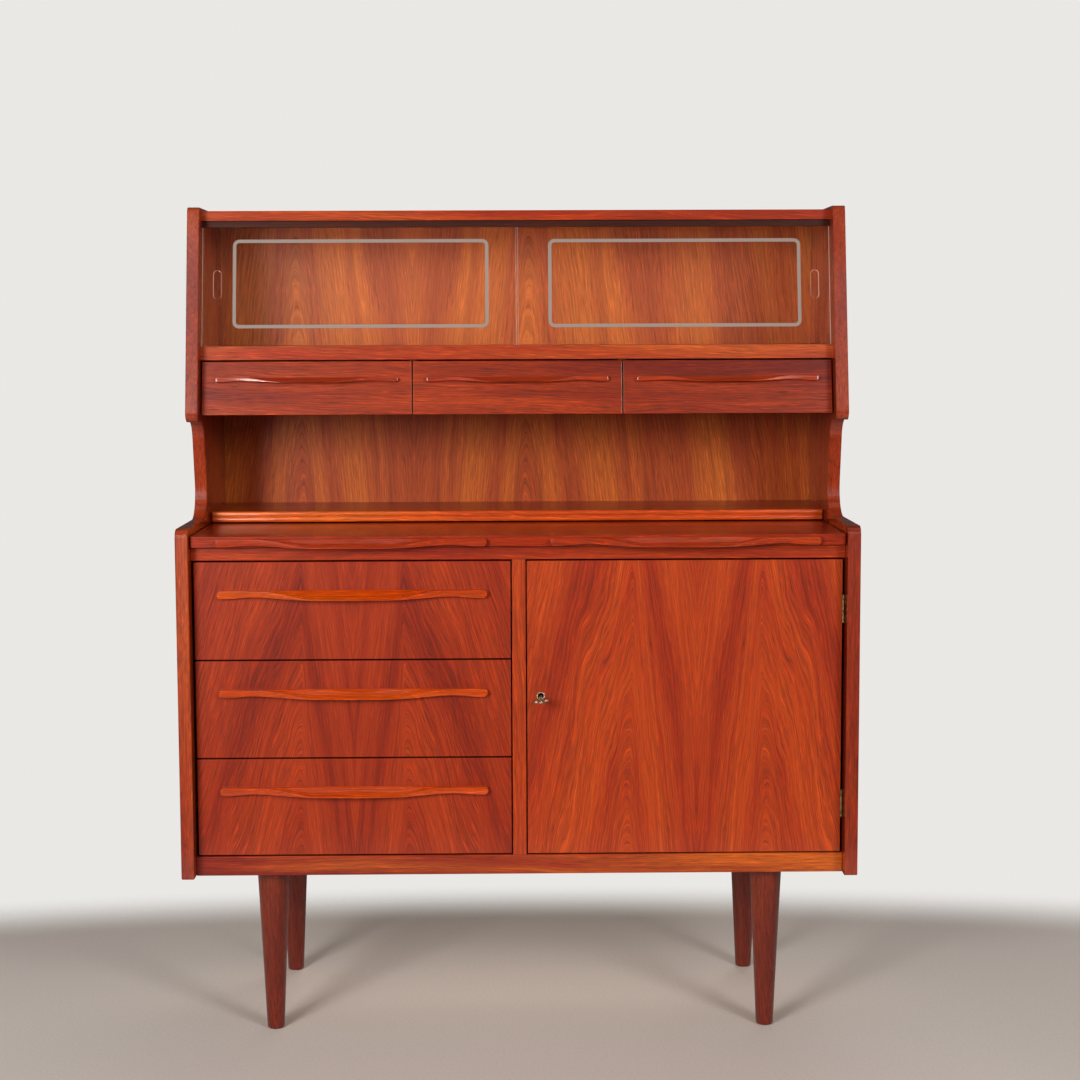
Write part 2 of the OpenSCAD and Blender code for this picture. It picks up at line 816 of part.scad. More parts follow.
// sides, back and bottom of a small drawer; the sides meet the slanting front
module tray_box(i) {
    outer = inner_x - tray_play;
    div_in = tray_div_x - divider_t / 2 - tray_play;
    div_out = tray_div_x + divider_t / 2 + tray_play;
    x = i == 0 ? [-div_in, div_in] : i > 0 ? [div_out, outer] : [-outer, -div_out];
    z0 = tray_z + tray_play / 2;
    z1 = z0 + tray_box_h;
    y1 = back_y - tray_back_gap;
    run = tray_face_run + glue;
    color(plywood) from_front() {
        for (xs = [x[0], x[1] - tray_t])
            along_x(xs, tray_t)
                polygon([[face_y(z0) + run, z0], [y1, z0], [y1, z1], [face_y(z1) + run, z1]]);
        block([x[0] + tray_t + glue, x[1] - tray_t - glue], [y1 - tray_t, y1],
              [z0 + tray_bottom_t + glue, z1]);
        along_x(x[0] + tray_t + glue, x[1] - x[0] - 2 * tray_t - 2 * glue)
            polygon([[face_y(z0) + run, z0], [y1, z0], [y1, z0 + tray_bottom_t],
                     [face_y(z0 + tray_bottom_t) + run, z0 + tray_bottom_t]]);
    }
}

module small_drawer_left_front() { tray_front(-1); }
module small_drawer_middle_front() { tray_front(0); }
module small_drawer_right_front() { tray_front(1); }
module small_drawer_left_handle() { tray_handle(-1); }
module small_drawer_middle_handle() { tray_handle(0); }
module small_drawer_right_handle() { tray_handle(1); }
module small_drawer_left_box() { tray_box(-1); }
module small_drawer_middle_box() { tray_box(0); }
module small_drawer_right_box() { tray_box(1); }

// ---- door ------------------------------------------------------------------

module door_panel() {
    color(teak) from_front() difference() {
        block([front_x, front_x + front_w], [inset, inset + front_t], [door_z, door_z + door_h]);
        translate([key_x, inset - 1, key_z + key_sag]) rotate([-90, 0, 0])
            cylinder(r = escutcheon_r + glue, h = 4);
        translate([key_x, inset - 1, key_z + key_sag]) rotate([-90, 0, 0])
            cylinder(r = keyhole_r, h = front_t);
        block([front_x - 1, front_x + lock_w + glue], [lock_y - glue, inset + front_t + 1],
              around(key_z, lock_h / 2 + glue));
        door_screw_set(0);
    }
}

module escutcheon() {
    color(brass) from_front() translate([key_x, inset - 0.6, key_z + key_sag])
        rotate([-90, 0, 0]) difference() {
            cylinder(r = escutcheon_r, h = 3);
            translate([0, 0, -1]) cylinder(r = keyhole_r, h = 5);
        }
}

// space that the key's bit and the bolt need inside the lock case
bit_r = 5;
bit_y = lock_y + 1.5;
bit_len = 2.5;

module lock_case() {
    color(steel) from_front() difference() {
        block([front_x + glue, front_x + lock_w], [lock_y, inset + front_t],
              around(key_z, lock_h / 2));
        translate([key_x, lock_y - 1, key_z]) rotate([-90, 0, 0])
            cylinder(r = bit_r + 0.6, h = bolt_mid - bolt_t / 2 - lock_y + 1);
        block([front_x - 1, front_x + bolt_throw + 22], around(bolt_mid, bolt_t / 2 + bolt_play),
              around(key_z, bolt_h / 2 + bolt_play));
    }
}

module lock_bolt() {
    color(brass) from_front()
        block([front_x + glue, front_x + 20], around(bolt_mid, bolt_t / 2),
              around(key_z, bolt_h / 2));
}

module door_key() {
    bow_r = 4.6;
    eye_r = 2.4;
    bow_t = 2.4;
    bow_tilt = 8;
    lobe_x = 7.4;
    tip_y = -key_out + bow_r;
    lobe_y = tip_y + 8;
    collar_y = lobe_y + 9;
    end_y = bit_y + bit_len + 0.3 - inset;
    color(brass) from_front() translate([key_x, inset, key_z]) rotate([0, -bow_tilt, 0]) {
        translate([0, lobe_y, 0]) rotate([-90, 0, 0]) cylinder(r = shank_r, h = end_y - lobe_y);
        for (y = [collar_y, collar_y + 4])
            translate([0, y, 0]) rotate([-90, 0, 0]) cylinder(r = shank_r + 1.1, h = 2);
        translate([0, 0, -bow_t / 2]) linear_extrude(bow_t) difference() {
            union() {
                for (p = [[-lobe_x, lobe_y], [lobe_x, lobe_y], [0, tip_y]])
                    translate(p) circle(bow_r, $fn = 32);
                polygon([[-lobe_x, lobe_y + 2], [lobe_x, lobe_y + 2], [shank_r, collar_y + 1],
                         [-shank_r, collar_y + 1]]);
                translate([-shank_r, tip_y + 2]) square([2 * shank_r, 8]);
            }
            for (p = [[-lobe_x, lobe_y], [lobe_x, lobe_y], [0, tip_y]])
                translate(p) circle(eye_r, $fn = 24);
        }
        translate([0, bit_y - inset, -1]) cube([bit_r, bit_len, 2]);
    }
}

// mortise and recess in the partition for the bolt and its plate
strike_t = 1.2;
strike_w = 12;
strike_h = 36;
strike_play = 0.7;

module strike_recess() {
    x = partition_t / 2;
    block([x - strike_t - glue, x + 1], around(bolt_mid, strike_w / 2 + glue),
          around(key_z, strike_h / 2 + glue));
    block([x - bolt_throw - 1, x], around(bolt_mid, bolt_t / 2 + strike_play),
          around(key_z, bolt_h / 2 + strike_play));
}

module strike_plate() {
    x = partition_t / 2;
    color(steel) from_front() difference() {
        block([x - strike_t, x], around(bolt_mid, strike_w / 2), around(key_z, strike_h / 2));
        block([x - 3, x + 1], around(bolt_mid, bolt_t / 2 + strike_play),
              around(key_z, bolt_h / 2 + strike_play));
    }
}

// ---- hinges ----------------------------------------------------------------

knuckle_gap = 0.3;
knuckle_len = (hinge_len - 2 * knuckle_gap) / 3;

// one leaf: knuckles listed by number from the bottom, plate on the side of sign s
module hinge_leaf(numbers, s) {
    plate_x = s > 0 ? inner_x - hinge_x - leaf_t : inner_x - side_gap - hinge_x;
    clear_y = knuckle_r + 0.5;
    difference() {
        union() {
            translate([plate_x, clear_y, -hinge_len / 2])
                cube([leaf_t, leaf_w - clear_y, hinge_len]);
            for (k = numbers)
                translate([0, 0, -hinge_len / 2 + k * (knuckle_len + knuckle_gap)]) {
                    cylinder(r = knuckle_r, h = knuckle_len);
                    translate([plate_x, 0, 0]) cube([leaf_t, clear_y + 0.5, knuckle_len]);
                }
        }
        translate([0, 0, -hinge_len]) cylinder(r = hinge_pin_r + pin_fit, h = 2 * hinge_len);
    }
}

module at_hinges() {
    for (z = hinge_z) translate([hinge_x, hinge_y, z]) children();
}

// three screws through each leaf, running outwards along s
module hinge_screws_at(s, extra) {
    head_x = s > 0 ? inner_x - leaf_t - hinge_x : inner_x - side_gap + leaf_t - hinge_x;
    for (z = [-14, 0, 14])
        translate([head_x, knuckle_r + 8, z]) rotate([0, s * 90, 0]) wood_screw(12, extra);
}

module frame_screw_set(extra) {
    at_hinges() hinge_screws_at(1, extra);
}

module door_screw_set(extra) {
    at_hinges() hinge_screws_at(-1, extra);
}

module hinge_frame_leaves() {
    color(brass) from_front() difference() {
        at_hinges() hinge_leaf([0, 2], 1);
        frame_screw_set(0);
    }
}

module hinge_door_leaves() {
    color(brass) from_front() difference() {
        at_hinges() hinge_leaf([1], -1);
        door_screw_set(0);
    }
}

module hinge_pins() {
    color(steel) from_front() at_hinges()
        translate([0, 0, -hinge_len / 2]) cylinder(r = hinge_pin_r, h = hinge_len);
}

module hinge_frame_screws() { color(steel) from_front() frame_screw_set(-glue); }
module hinge_door_screws() { color(steel) from_front() door_screw_set(-glue); }

// ---- nodes -----------------------------------------------------------------

left_side();
right_side();
bottom_panel();
bottom_rail();
deck_panel();
deck_rail();
partition();
lower_back();
upper_back();
niche_shelf();
hutch_deck();
hutch_dividers();
glass_shelf();
top_panel();
top_track();
drawer_runners();
leg_front_left();
leg_front_right();
leg_rear_left();
leg_rear_right();
leg_plates();
leg_bolts();
cupboard_shelf();
shelf_pins();
hinge_frame_leaves();
hinge_frame_screws();
strike_plate();
back_screws();
glass_left();
glass_right();
writing_board();
board_handle_left();
board_handle_right();
board_stops();
door_panel();
escutcheon();
lock_case();
lock_bolt();
door_key();
hinge_door_leaves();
hinge_pins();
hinge_door_screws();
small_drawer_left_front();
small_drawer_left_handle();
small_drawer_left_box();
small_drawer_middle_front();
small_drawer_middle_handle();
small_drawer_middle_box();
small_drawer_right_front();
small_drawer_right_handle();
small_drawer_right_box();
drawer_top_front();
drawer_top_handle();
drawer_top_box();
drawer_middle_front();
drawer_middle_handle();
drawer_middle_box();
drawer_bottom_front();
drawer_bottom_handle();
drawer_bottom_box();
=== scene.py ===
import json
import math

import bmesh
import bpy
from mathutils import Matrix, Vector

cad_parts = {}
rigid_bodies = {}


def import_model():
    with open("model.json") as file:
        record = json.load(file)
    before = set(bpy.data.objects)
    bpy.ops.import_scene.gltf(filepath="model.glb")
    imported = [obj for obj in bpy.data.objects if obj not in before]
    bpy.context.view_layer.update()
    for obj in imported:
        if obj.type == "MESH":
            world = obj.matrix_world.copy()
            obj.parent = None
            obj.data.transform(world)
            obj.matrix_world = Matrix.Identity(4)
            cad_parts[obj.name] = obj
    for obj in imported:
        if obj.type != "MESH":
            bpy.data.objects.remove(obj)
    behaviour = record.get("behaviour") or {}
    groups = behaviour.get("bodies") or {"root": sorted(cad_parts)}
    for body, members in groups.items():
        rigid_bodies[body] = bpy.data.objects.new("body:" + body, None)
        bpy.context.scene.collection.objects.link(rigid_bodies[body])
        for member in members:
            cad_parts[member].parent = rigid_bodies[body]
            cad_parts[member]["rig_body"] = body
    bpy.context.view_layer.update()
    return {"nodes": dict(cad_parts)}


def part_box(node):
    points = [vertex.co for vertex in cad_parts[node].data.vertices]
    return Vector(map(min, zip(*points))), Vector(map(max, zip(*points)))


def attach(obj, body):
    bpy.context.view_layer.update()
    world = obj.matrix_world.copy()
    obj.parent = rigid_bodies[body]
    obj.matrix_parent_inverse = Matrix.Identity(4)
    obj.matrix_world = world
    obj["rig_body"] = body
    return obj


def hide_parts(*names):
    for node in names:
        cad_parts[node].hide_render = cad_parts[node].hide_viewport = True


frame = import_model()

mm = 0.001


# ---- side boards -----------------------------------------------------------
# Two one-piece boards, 19 mm thick, veneered with teak and lipped with solid teak along the
# shaped front. The shape is sawn and spindled, the arrises are eased by hand, and the whole
# is stained red and finished in satin lacquer.

def linear(code):
    """An sRGB colour code as linear red, green, blue and a full alpha."""
    parts = [int(code[i:i + 2], 16) / 255 for i in (1, 3, 5)]
    return [c / 12.92 if c <= 0.04045 else ((c + 0.055) / 1.055) ** 2.4 for c in parts] + [1.0]


def add(tree, kind, feeds, **settings):
    """Adds one node. feeds maps its inputs to a value, an output, or a node's first output."""
    node = tree.nodes.new(kind)
    for key, value in settings.items():
        setattr(node, key, value)
    for socket, feed in feeds.items():
        if isinstance(feed, bpy.types.Node):
            feed = feed.outputs[0]
        if isinstance(feed, bpy.types.NodeSocket):
            tree.links.new(feed, node.inputs[socket])
        else:
            node.inputs[socket].default_value = feed
    return node


def sawn_wood(name, axes, dark, mid, light, heart=0.0, joint=None, pith=0.012, taper=0.04,
              steep=1.0, ring=4.5 * mm, figure=0.5, sway=0.02, golden=0.0, gloss=0.42, coat=0.5):
    """Lacquered wood. axes names the directions across, into and along the grain.

    The growth rings are cones round the heart of the trunk, and taper is their slope. A cut
    that passes pith from the heart line shows them as nested arches there, with straight
    flanks on both sides. joint is the line about which two leaves of veneer are
    book-matched, and steep draws the flanks on the joint side closer to upright. golden is
    how fast the colour lightens along the board."""
    material = bpy.data.materials.new(name)
    material.use_nodes = True
    tree = material.node_tree
    shader = tree.nodes["Principled BSDF"]
    spot = add(tree, "ShaderNodeTexCoord", {})
    split = add(tree, "ShaderNodeSeparateXYZ", {0: spot.outputs["Object"]})
    across, depth, along = (split.outputs[axis] for axis in axes)
    if joint is not None:
        across = add(tree, "ShaderNodeMath", {0: across, 1: joint}, operation="SUBTRACT")
        across = add(tree, "ShaderNodeMath", {0: across}, operation="ABSOLUTE")
    across = add(tree, "ShaderNodeMath", {0: across, 1: heart}, operation="SUBTRACT")
    tight = add(tree, "ShaderNodeMath", {0: across, 1: steep}, operation="MULTIPLY")
    across = add(tree, "ShaderNodeMath", {0: across, 1: tight}, operation="MINIMUM")
    grain = add(tree, "ShaderNodeCombineXYZ", {0: across, 1: depth, 2: along})

    # slow sway of the trunk, about 90 mm across and 400 mm along
    slow_at = add(tree, "ShaderNodeVectorMath", {0: grain, 1: (11, 11, 2.5)},
                  operation="MULTIPLY")
    slow = add(tree, "ShaderNodeTexNoise", {"Vector": slow_at, "Scale": 1.0, "Detail": 3.0})
    off = add(tree, "ShaderNodeVectorMath", {0: slow.outputs["Color"], 1: (0.5, 0.5, 0.5)},
              operation="SUBTRACT")
    off = add(tree, "ShaderNodeVectorMath", {0: off, 1: (2 * sway, sway, 0)},
              operation="MULTIPLY")
    shell = add(tree, "ShaderNodeCombineXYZ", {0: across, 1: pith})
    shell = add(tree, "ShaderNodeVectorMath", {0: shell, 1: off}, operation="ADD")
    radius = add(tree, "ShaderNodeVectorMath", {0: shell}, operation="LENGTH").outputs["Value"]
    radius = add(tree, "ShaderNodeMath", {0: along, 1: taper, 2: radius},
                 operation="MULTIPLY_ADD")
    strand = add(tree, "ShaderNodeCombineXYZ", {0: radius, 1: depth, 2: along})

    # ripple of single rings, about 15 mm across and 60 mm along
    fine_at = add(tree, "ShaderNodeVectorMath", {0: grain, 1: (65, 65, 16)},
                  operation="MULTIPLY")
    ripple = add(tree, "ShaderNodeTexNoise", {"Vector": fine_at, "Scale": 1.0, "Detail": 4.0})
    radius = add(tree, "ShaderNodeMath", {0: ripple.outputs["Fac"], 1: 1.8 * ring, 2: radius},
                 operation="MULTIPLY_ADD")
    turn = add(tree, "ShaderNodeMath", {0: radius, 1: ring}, operation="DIVIDE")
    turn = add(tree, "ShaderNodeMath", {0: turn}, operation="FRACT")
    late = add(tree, "ShaderNodeValToRGB", {0: turn})
    late.color_ramp.elements[0].color = (1, 1, 1, 1)
    late.color_ramp.elements[1].color = (1, 1, 1, 1)
    for place, shade in ((0.12, 0.45), (0.35, 0.1), (0.7, 0.0), (0.93, 0.3)):
        late.color_ramp.elements.new(place).color = (shade, shade, shade, 1)
    fade_at = add(tree, "ShaderNodeVectorMath", {0: grain, 1: (45, 45, 4)},
                  operation="MULTIPLY")
    fade = add(tree, "ShaderNodeTexNoise", {"Vector": fade_at, "Scale": 1.0, "Detail": 3.0})
    fade = add(tree, "ShaderNodeMapRange", {0: fade.outputs["Fac"], 1: 0.42, 2: 0.66, 3: 0.04,
                                            4: figure})
    late = add(tree, "ShaderNodeMath", {0: late, 1: fade}, operation="MULTIPLY")

    # what runs with the rings: 60 mm colour bands, dark flames, 2 mm streaks, and pores,
    # which are drawn 1 mm wide, coarser than real ones, so that they show
    band_at = add(tree, "ShaderNodeVectorMath", {0: strand, 1: (17, 12, 1.1)},
                  operation="MULTIPLY")
    band = add(tree, "ShaderNodeTexNoise", {"Vector": band_at, "Scale": 1.0, "Detail": 5.0,
                                            "Roughness": 0.62})
    band = add(tree, "ShaderNodeMath", {0: along, 1: golden, 2: band.outputs["Fac"]},
               operation="MULTIPLY_ADD")
    light_band = add(tree, "ShaderNodeMapRange", {0: band, 1: 0.42, 2: 0.72})
    flame = add(tree, "ShaderNodeMapRange", {0: band, 1: 0.46, 2: 0.26, 4: 0.8 * figure})
    streak_at = add(tree, "ShaderNodeVectorMath", {0: strand, 1: (520, 520, 7)},
                    operation="MULTIPLY")
    streak = add(tree, "ShaderNodeTexNoise", {"Vector": streak_at, "Scale": 1.0, "Detail": 5.0,
                                              "Roughness": 0.7})
    streak = add(tree, "ShaderNodeMapRange", {0: streak.outputs["Fac"], 1: 0.25, 2: 0.75,
                                              3: 0.5, 4: 1.5})
    pore_at = add(tree, "ShaderNodeVectorMath", {0: strand, 1: (1000, 1000, 36)},
                  operation="MULTIPLY")
    pore = add(tree, "ShaderNodeTexNoise", {"Vector": pore_at, "Scale": 1.0, "Detail": 1.0})
    fleck = add(tree, "ShaderNodeMapRange", {0: pore.outputs["Fac"], 1: 0.4, 2: 0.26, 3: 1.0,
                                             4: 1.7})
    streak = add(tree, "ShaderNodeMath", {0: streak, 1: fleck}, operation="MULTIPLY")
    pore = add(tree, "ShaderNodeMapRange", {0: pore.outputs["Fac"], 1: 0.56, 2: 0.72, 4: 0.6})

    tint = add(tree, "ShaderNodeMix", {0: light_band, 6: linear(mid), 7: linear(light)},
               data_type="RGBA")
    tint = add(tree, "ShaderNodeMix", {0: flame, 6: tint.outputs[2], 7: linear(dark)},
               data_type="RGBA")
    tint = add(tree, "ShaderNodeMix", {0: late, 6: tint.outputs[2], 7: linear(dark)},
               data_type="RGBA")
    tint = add(tree, "ShaderNodeHueSaturation", {"Value": streak, "Color": tint.outputs[2]})
    tint = add(tree, "ShaderNodeMix", {0: pore, 6: tint.outputs[0], 7: linear(dark)},
               data_type="RGBA")
    tree.links.new(tint.outputs[2], shader.inputs["Base Color"])
    matt = add(tree, "ShaderNodeMath", {0: pore, 1: 0.35, 2: gloss}, operation="MULTIPLY_ADD")
    tree.links.new(matt.outputs[0], shader.inputs["Roughness"])
    relief = add(tree, "ShaderNodeMath", {0: late, 1: 0.25, 2: pore}, operation="MULTIPLY_ADD")
    bump = add(tree, "ShaderNodeBump", {"Height": relief, "Strength": 0.25,
                                        "Distance": 0.12 * mm}, invert=True)
    tree.links.new(bump.outputs[0], shader.inputs["Normal"])
    # satin lacquer: a clear coat with soft highlights over duller, open-pored wood
    shader.inputs["Coat Weight"].default_value = coat
    shader.inputs["Coat Roughness"].default_value = 0.12
    shader.inputs["Specular IOR Level"].default_value = 0.25
    return material


def finish_piece(piece, body, slot, *nodes):
    """Puts a finished piece in the scene, on its body, in place of its frame parts."""
    if piece.name not in bpy.context.scene.collection.objects:
        bpy.context.scene.collection.objects.link(piece)
    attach(piece, body)
    if nodes:
        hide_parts(*nodes)


def flatten(piece):
    """Turns a piece and its modifiers into one plain mesh, smooth only where it curves."""
    graph = bpy.context.evaluated_depsgraph_get()
    mesh = bpy.data.meshes.new_from_object(piece.evaluated_get(graph))
    piece.modifiers.clear()
    piece.data = mesh
    mesh.polygons.foreach_set("use_smooth", [True] * len(mesh.polygons))
    mesh.set_sharp_from_angle(angle=math.radians(12))
    return piece


def ease(node, material, slot, radius=1.0 * mm):
    """A copy of a frame part with its arrises rounded, which stands for that part."""
    work = bmesh.new()
    work.from_mesh(frame["nodes"][node].data)
    bmesh.ops.remove_doubles(work, verts=work.verts, dist=0.002 * mm)
    bmesh.ops.dissolve_limit(work, angle_limit=math.radians(0.3), verts=work.verts,
                             edges=work.edges)
    mesh = bpy.data.meshes.new(node + "_eased")
    work.to_mesh(mesh)
    work.free()
    mesh.materials.clear()
    mesh.materials.append(material)
    for face in mesh.polygons:
        face.material_index = 0
    piece = bpy.data.objects.new(node + "_eased", mesh)
    bpy.context.scene.collection.objects.link(piece)
    bevel = piece.modifiers.new("arris", "BEVEL")
    bevel.width = radius
    bevel.segments = 3
    bevel.limit_method = "ANGLE"
    bevel.angle_limit = math.radians(38)
    flatten(piece)
    finish_piece(piece, frame["nodes"][node]["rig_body"], slot, node)
    return piece


side_teak = sawn_wood("teak, lipped board, satin lacquer", "YXZ", "#4a0f04", "#932a0a", "#b5460f",
                      heart=-0.26, taper=0.05, ring=5 * mm, coat=1.0)
for board in ("left_side", "right_side"):
    ease(board, side_teak, "teak_veneer", 1.6 * mm)


# ---- back panels -----------------------------------------------------------
# Two thin sheets in rebates: teak-faced ply where it shows in the hutch and the niche,
# plain ply behind the drawers. Crown-cut leaves, paler and browner than the fronts
# because they carry only a thin clear coat.

back_teak = sawn_wood("teak-faced ply, crown cut, thin lacquer", "XYZ", "#681f08", "#a84519",
                      "#ca681f", heart=0.185, joint=-0.17, steep=1.4, taper=0.12, ring=6 * mm,
                      figure=0.4, coat=0.2)
ease("upper_back", back_teak, "teak_veneer", 0.4 * mm)
plain_ply = sawn_wood("beech ply, sanded", "XYZ", "#8f6a3e", "#c09664", "#d2ab7a", heart=0.2,
                      ring=4 * mm, figure=0.3, gloss=0.6, coat=0.0)
ease("lower_back", plain_ply, "pale_wood", 0.4 * mm)


# ---- case: rails, partition, bottom and deck -------------------------------
# The rails that show are solid teak edgings, grain lengthwise, glued to the ply panels
# behind them. The partition between drawers and cupboard is lipped the same way and is
# carried up from the bottom to the deck.

rail_teak = sawn_wood("teak, solid rail, satin lacquer", "ZYX", "#5c1002", "#982203", "#c84e0c",
                      heart=-0.03, taper=0.015, ring=3.4 * mm, golden=0.1)
post_teak = sawn_wood("teak, solid lipping, satin lacquer", "XYZ", "#6a1a05", "#a8320a",
                      "#bc4710", heart=-0.03, taper=0.02, ring=3.2 * mm)
ply_across = sawn_wood("beech ply, lengthwise", "YZX", "#8f6a3e", "#c09664", "#d2ab7a",
                       heart=0.1, ring=4 * mm, figure=0.3, gloss=0.6, coat=0.0)
low_rail_teak = sawn_wood("teak, solid bottom rail, partly sapwood", "ZYX", "#540e02", "#8a1b02",
                          "#d4640f", heart=-0.03, taper=0.015, ring=3.4 * mm, golden=0.3)
ease("deck_rail", rail_teak, "teak_solid", 1.2 * mm)
ease("bottom_rail", low_rail_teak, "teak_solid", 1.2 * mm)
ease("partition", post_teak, "teak_veneer", 0.8 * mm)
for panel in ("bottom_panel", "deck_panel"):
    ease(panel, ply_across, "pale_wood", 0.5 * mm)


# ---- niche shelf -----------------------------------------------------------
# A veneered shelf over the writing board. Along its front runs a solid teak lip, cut to
# two round reeds with a groove between them, and stopped a little short of the sides.

def loft(name, rings, material, loop=False):
    """A mesh skinned over rings of points, capped at both ends or closed into a loop."""
    work = bmesh.new()
    rows = [[work.verts.new(p) for p in ring] for ring in rings]
    pairs = list(zip(rows, rows[1:])) + ([(rows[-1], rows[0])] if loop else [])
    for near, far in pairs:
        for i, vert in enumerate(near):
            work.faces.new((vert, near[i - 1], far[i - 1], far[i]))
    if not loop:
        work.faces.new(rows[0])
        work.faces.new(rows[-1])
    bmesh.ops.recalc_face_normals(work, faces=work.faces)
    mesh = bpy.data.meshes.new(name)
    work.to_mesh(mesh)
    work.free()
    mesh.materials.append(material)
    mesh.polygons.foreach_set("use_smooth", [True] * len(mesh.polygons))
    mesh.set_sharp_from_angle(angle=math.radians(40))
    return bpy.data.objects.new(name, mesh)


shelf_low, shelf_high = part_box("niche_shelf")
lip_depth = 7 * mm
lip_end = 3 * mm
reed = (shelf_high.z - shelf_low.z) / 4
shelf_teak = sawn_wood("teak veneer, shelf, satin lacquer", "YZX", "#571404", "#8e2d0a",
                       "#a8400f", heart=0.06, taper=0.03, ring=5 * mm)
lip_teak = sawn_wood("teak, reeded lip, satin lacquer", "ZYX", "#93300a", "#cb4a10", "#e8701c",
                     heart=-0.05, taper=0.006, ring=3 * mm, figure=0.3)


def lip_outline(x, shrink):
    """The Y-Z section of the lip at x: two half-round reeds, drawn in by shrink at an end."""
    middle = (shelf_low.z + shelf_high.z) / 2
    points = []
    for side in (-1, 1):
        for step in range(9):
            angle = math.radians(-78 + 156 * step / 8)
            z = middle + side * reed + math.sin(angle) * reed * 0.97
            y = shelf_low.y + 0.62 * reed * (1 - math.cos(angle)) + shrink
            points.append(Vector((x, y, z)))
    back = shelf_low.y + lip_depth
    return points + [Vector((x, back, shelf_high.z)), Vector((x, back, shelf_low.z))]


lip_half = shelf_high.x - lip_end
lip_round = 2.5 * mm
lip_rings = []
for side, steps in ((-1, range(5, -1, -1)), (1, range(6))):
    for step in steps:
        angle = math.radians(18 * step)
        x = side * (lip_half - lip_round * (1 - math.sin(angle)))
        lip_rings.append(lip_outline(x, lip_round * (1 - math.cos(angle))))
finish_piece(loft("niche_shelf_lip", lip_rings, lip_teak), "cabinet", "teak_solid")

shelf_rings = []
for x in (shelf_low.x, shelf_high.x):
    corners = ((shelf_low.y + lip_depth, shelf_low.z), (shelf_high.y, shelf_low.z),
               (shelf_high.y, shelf_high.z), (shelf_low.y + lip_depth, shelf_high.z))
    shelf_rings.append([Vector((x, y, z)) for y, z in corners])
finish_piece(loft("niche_shelf_board", shelf_rings, shelf_teak), "cabinet", "teak_solid",
             "niche_shelf")


# ---- hutch -----------------------------------------------------------------
# Thin deck and partitions for the small drawers, the shelf behind the glass with its two
# grooves, the top, and under it a grooved strip for the panes, coloured near black as painted
# shade.

hutch_teak = sawn_wood("teak, hutch boards, satin lacquer", "ZYX", "#741a04", "#a52d06",
                       "#c85a1c", heart=-0.02, taper=0.03, ring=3.4 * mm)
# painted shade: this teak is coloured near black for the shade under the top, and the board stops
# take it too
shade_painted_teak = sawn_wood("teak, grooved strip, dark as painted shade", "ZYX", "#200702", "#3a1004", "#4c1907",
                       heart=-0.03, taper=0.01, ring=3 * mm, figure=0.3, coat=0.0)
for board in ("glass_shelf", "top_panel"):
    ease(board, hutch_teak, "teak_veneer", 1.0 * mm)
for board in ("hutch_deck", "hutch_dividers"):
    ease(board, shelf_teak, "teak_veneer", 0.5 * mm)
ease("top_track", shade_painted_teak, "teak_dark", 0.4 * mm)


# ---- sliding glass ---------------------------------------------------------
# Two clear panes of 4 mm float glass that lean back with the hutch. Each is etched with a
# rounded frame line, and a finger grip is ground near its outer end. The cut edges are
# ground too, so they look white against the clear faces.

slant = math.radians(11)
up_pane = Vector((0, math.sin(slant), math.cos(slant)))
off_pane = Vector((0, -math.cos(slant), math.sin(slant)))


def float_glass(name, tint, rough):
    """Glass that lets lamps through, so what stands behind it is lit."""
    material = bpy.data.materials.new(name)
    material.use_nodes = True
    tree = material.node_tree
    shader = tree.nodes["Principled BSDF"]
    shader.inputs["Base Color"].default_value = linear(tint)
    shader.inputs["Transmission Weight"].default_value = 1.0
    shader.inputs["Roughness"].default_value = rough
    shader.inputs["IOR"].default_value = 1.5
    clear = add(tree, "ShaderNodeBsdfTransparent", {"Color": linear(tint)})
    path = add(tree, "ShaderNodeLightPath", {})
    mix = add(tree, "ShaderNodeMixShader", {0: path.outputs["Is Shadow Ray"],
                                            1: shader.outputs[0], 2: clear})
    tree.links.new(mix.outputs[0], tree.nodes["Material Output"].inputs["Surface"])
    return material


def frosted_glass(name, scale, deep, pale):
    """Ground or etched glass: a grainy skin between two greys, dull under every light.

    Its grit is drawn coarser than the real one, 1 / scale metres wide, so that it shows."""
    material = bpy.data.materials.new(name)
    material.use_nodes = True
    tree = material.node_tree
    shader = tree.nodes["Principled BSDF"]
    spot = add(tree, "ShaderNodeTexCoord", {})
    grit = add(tree, "ShaderNodeTexNoise", {"Vector": spot.outputs["Object"], "Scale": scale,
                                            "Detail": 3.0})
    shade = add(tree, "ShaderNodeMix", {0: grit.outputs["Fac"], 6: linear(deep),
                                        7: linear(pale)}, data_type="RGBA")
    tree.links.new(shade.outputs[2], shader.inputs["Base Color"])
    rough = add(tree, "ShaderNodeMapRange", {0: grit.outputs["Fac"], 3: 0.55, 4: 0.8})
    tree.links.new(rough.outputs[0], shader.inputs["Roughness"])
    bump = add(tree, "ShaderNodeBump", {"Height": grit.outputs["Fac"], "Strength": 0.3,
                                        "Distance": 0.05 * mm})
    tree.links.new(bump.outputs[0], shader.inputs["Normal"])
    return material


clear_glass = float_glass("float glass, polished", "#f4faf7", 0.0)
etched_glass = frosted_glass("glass, etched line", 4000, "#84776f", "#ab9d94")
ground_glass = frosted_glass("glass, ground edge", 6000, "#c9bbb0", "#efe4da")
line_w = 5.2 * mm
line_r = 10 * mm
skin = 0.12 * mm
etched = {"left": (-434 * mm, -43.5 * mm), "right": (48 * mm, 436 * mm)}
etched_z = (1059 * mm, 1194 * mm)
groove_floor = 4 * mm
grip_facet = 30 * mm * mm


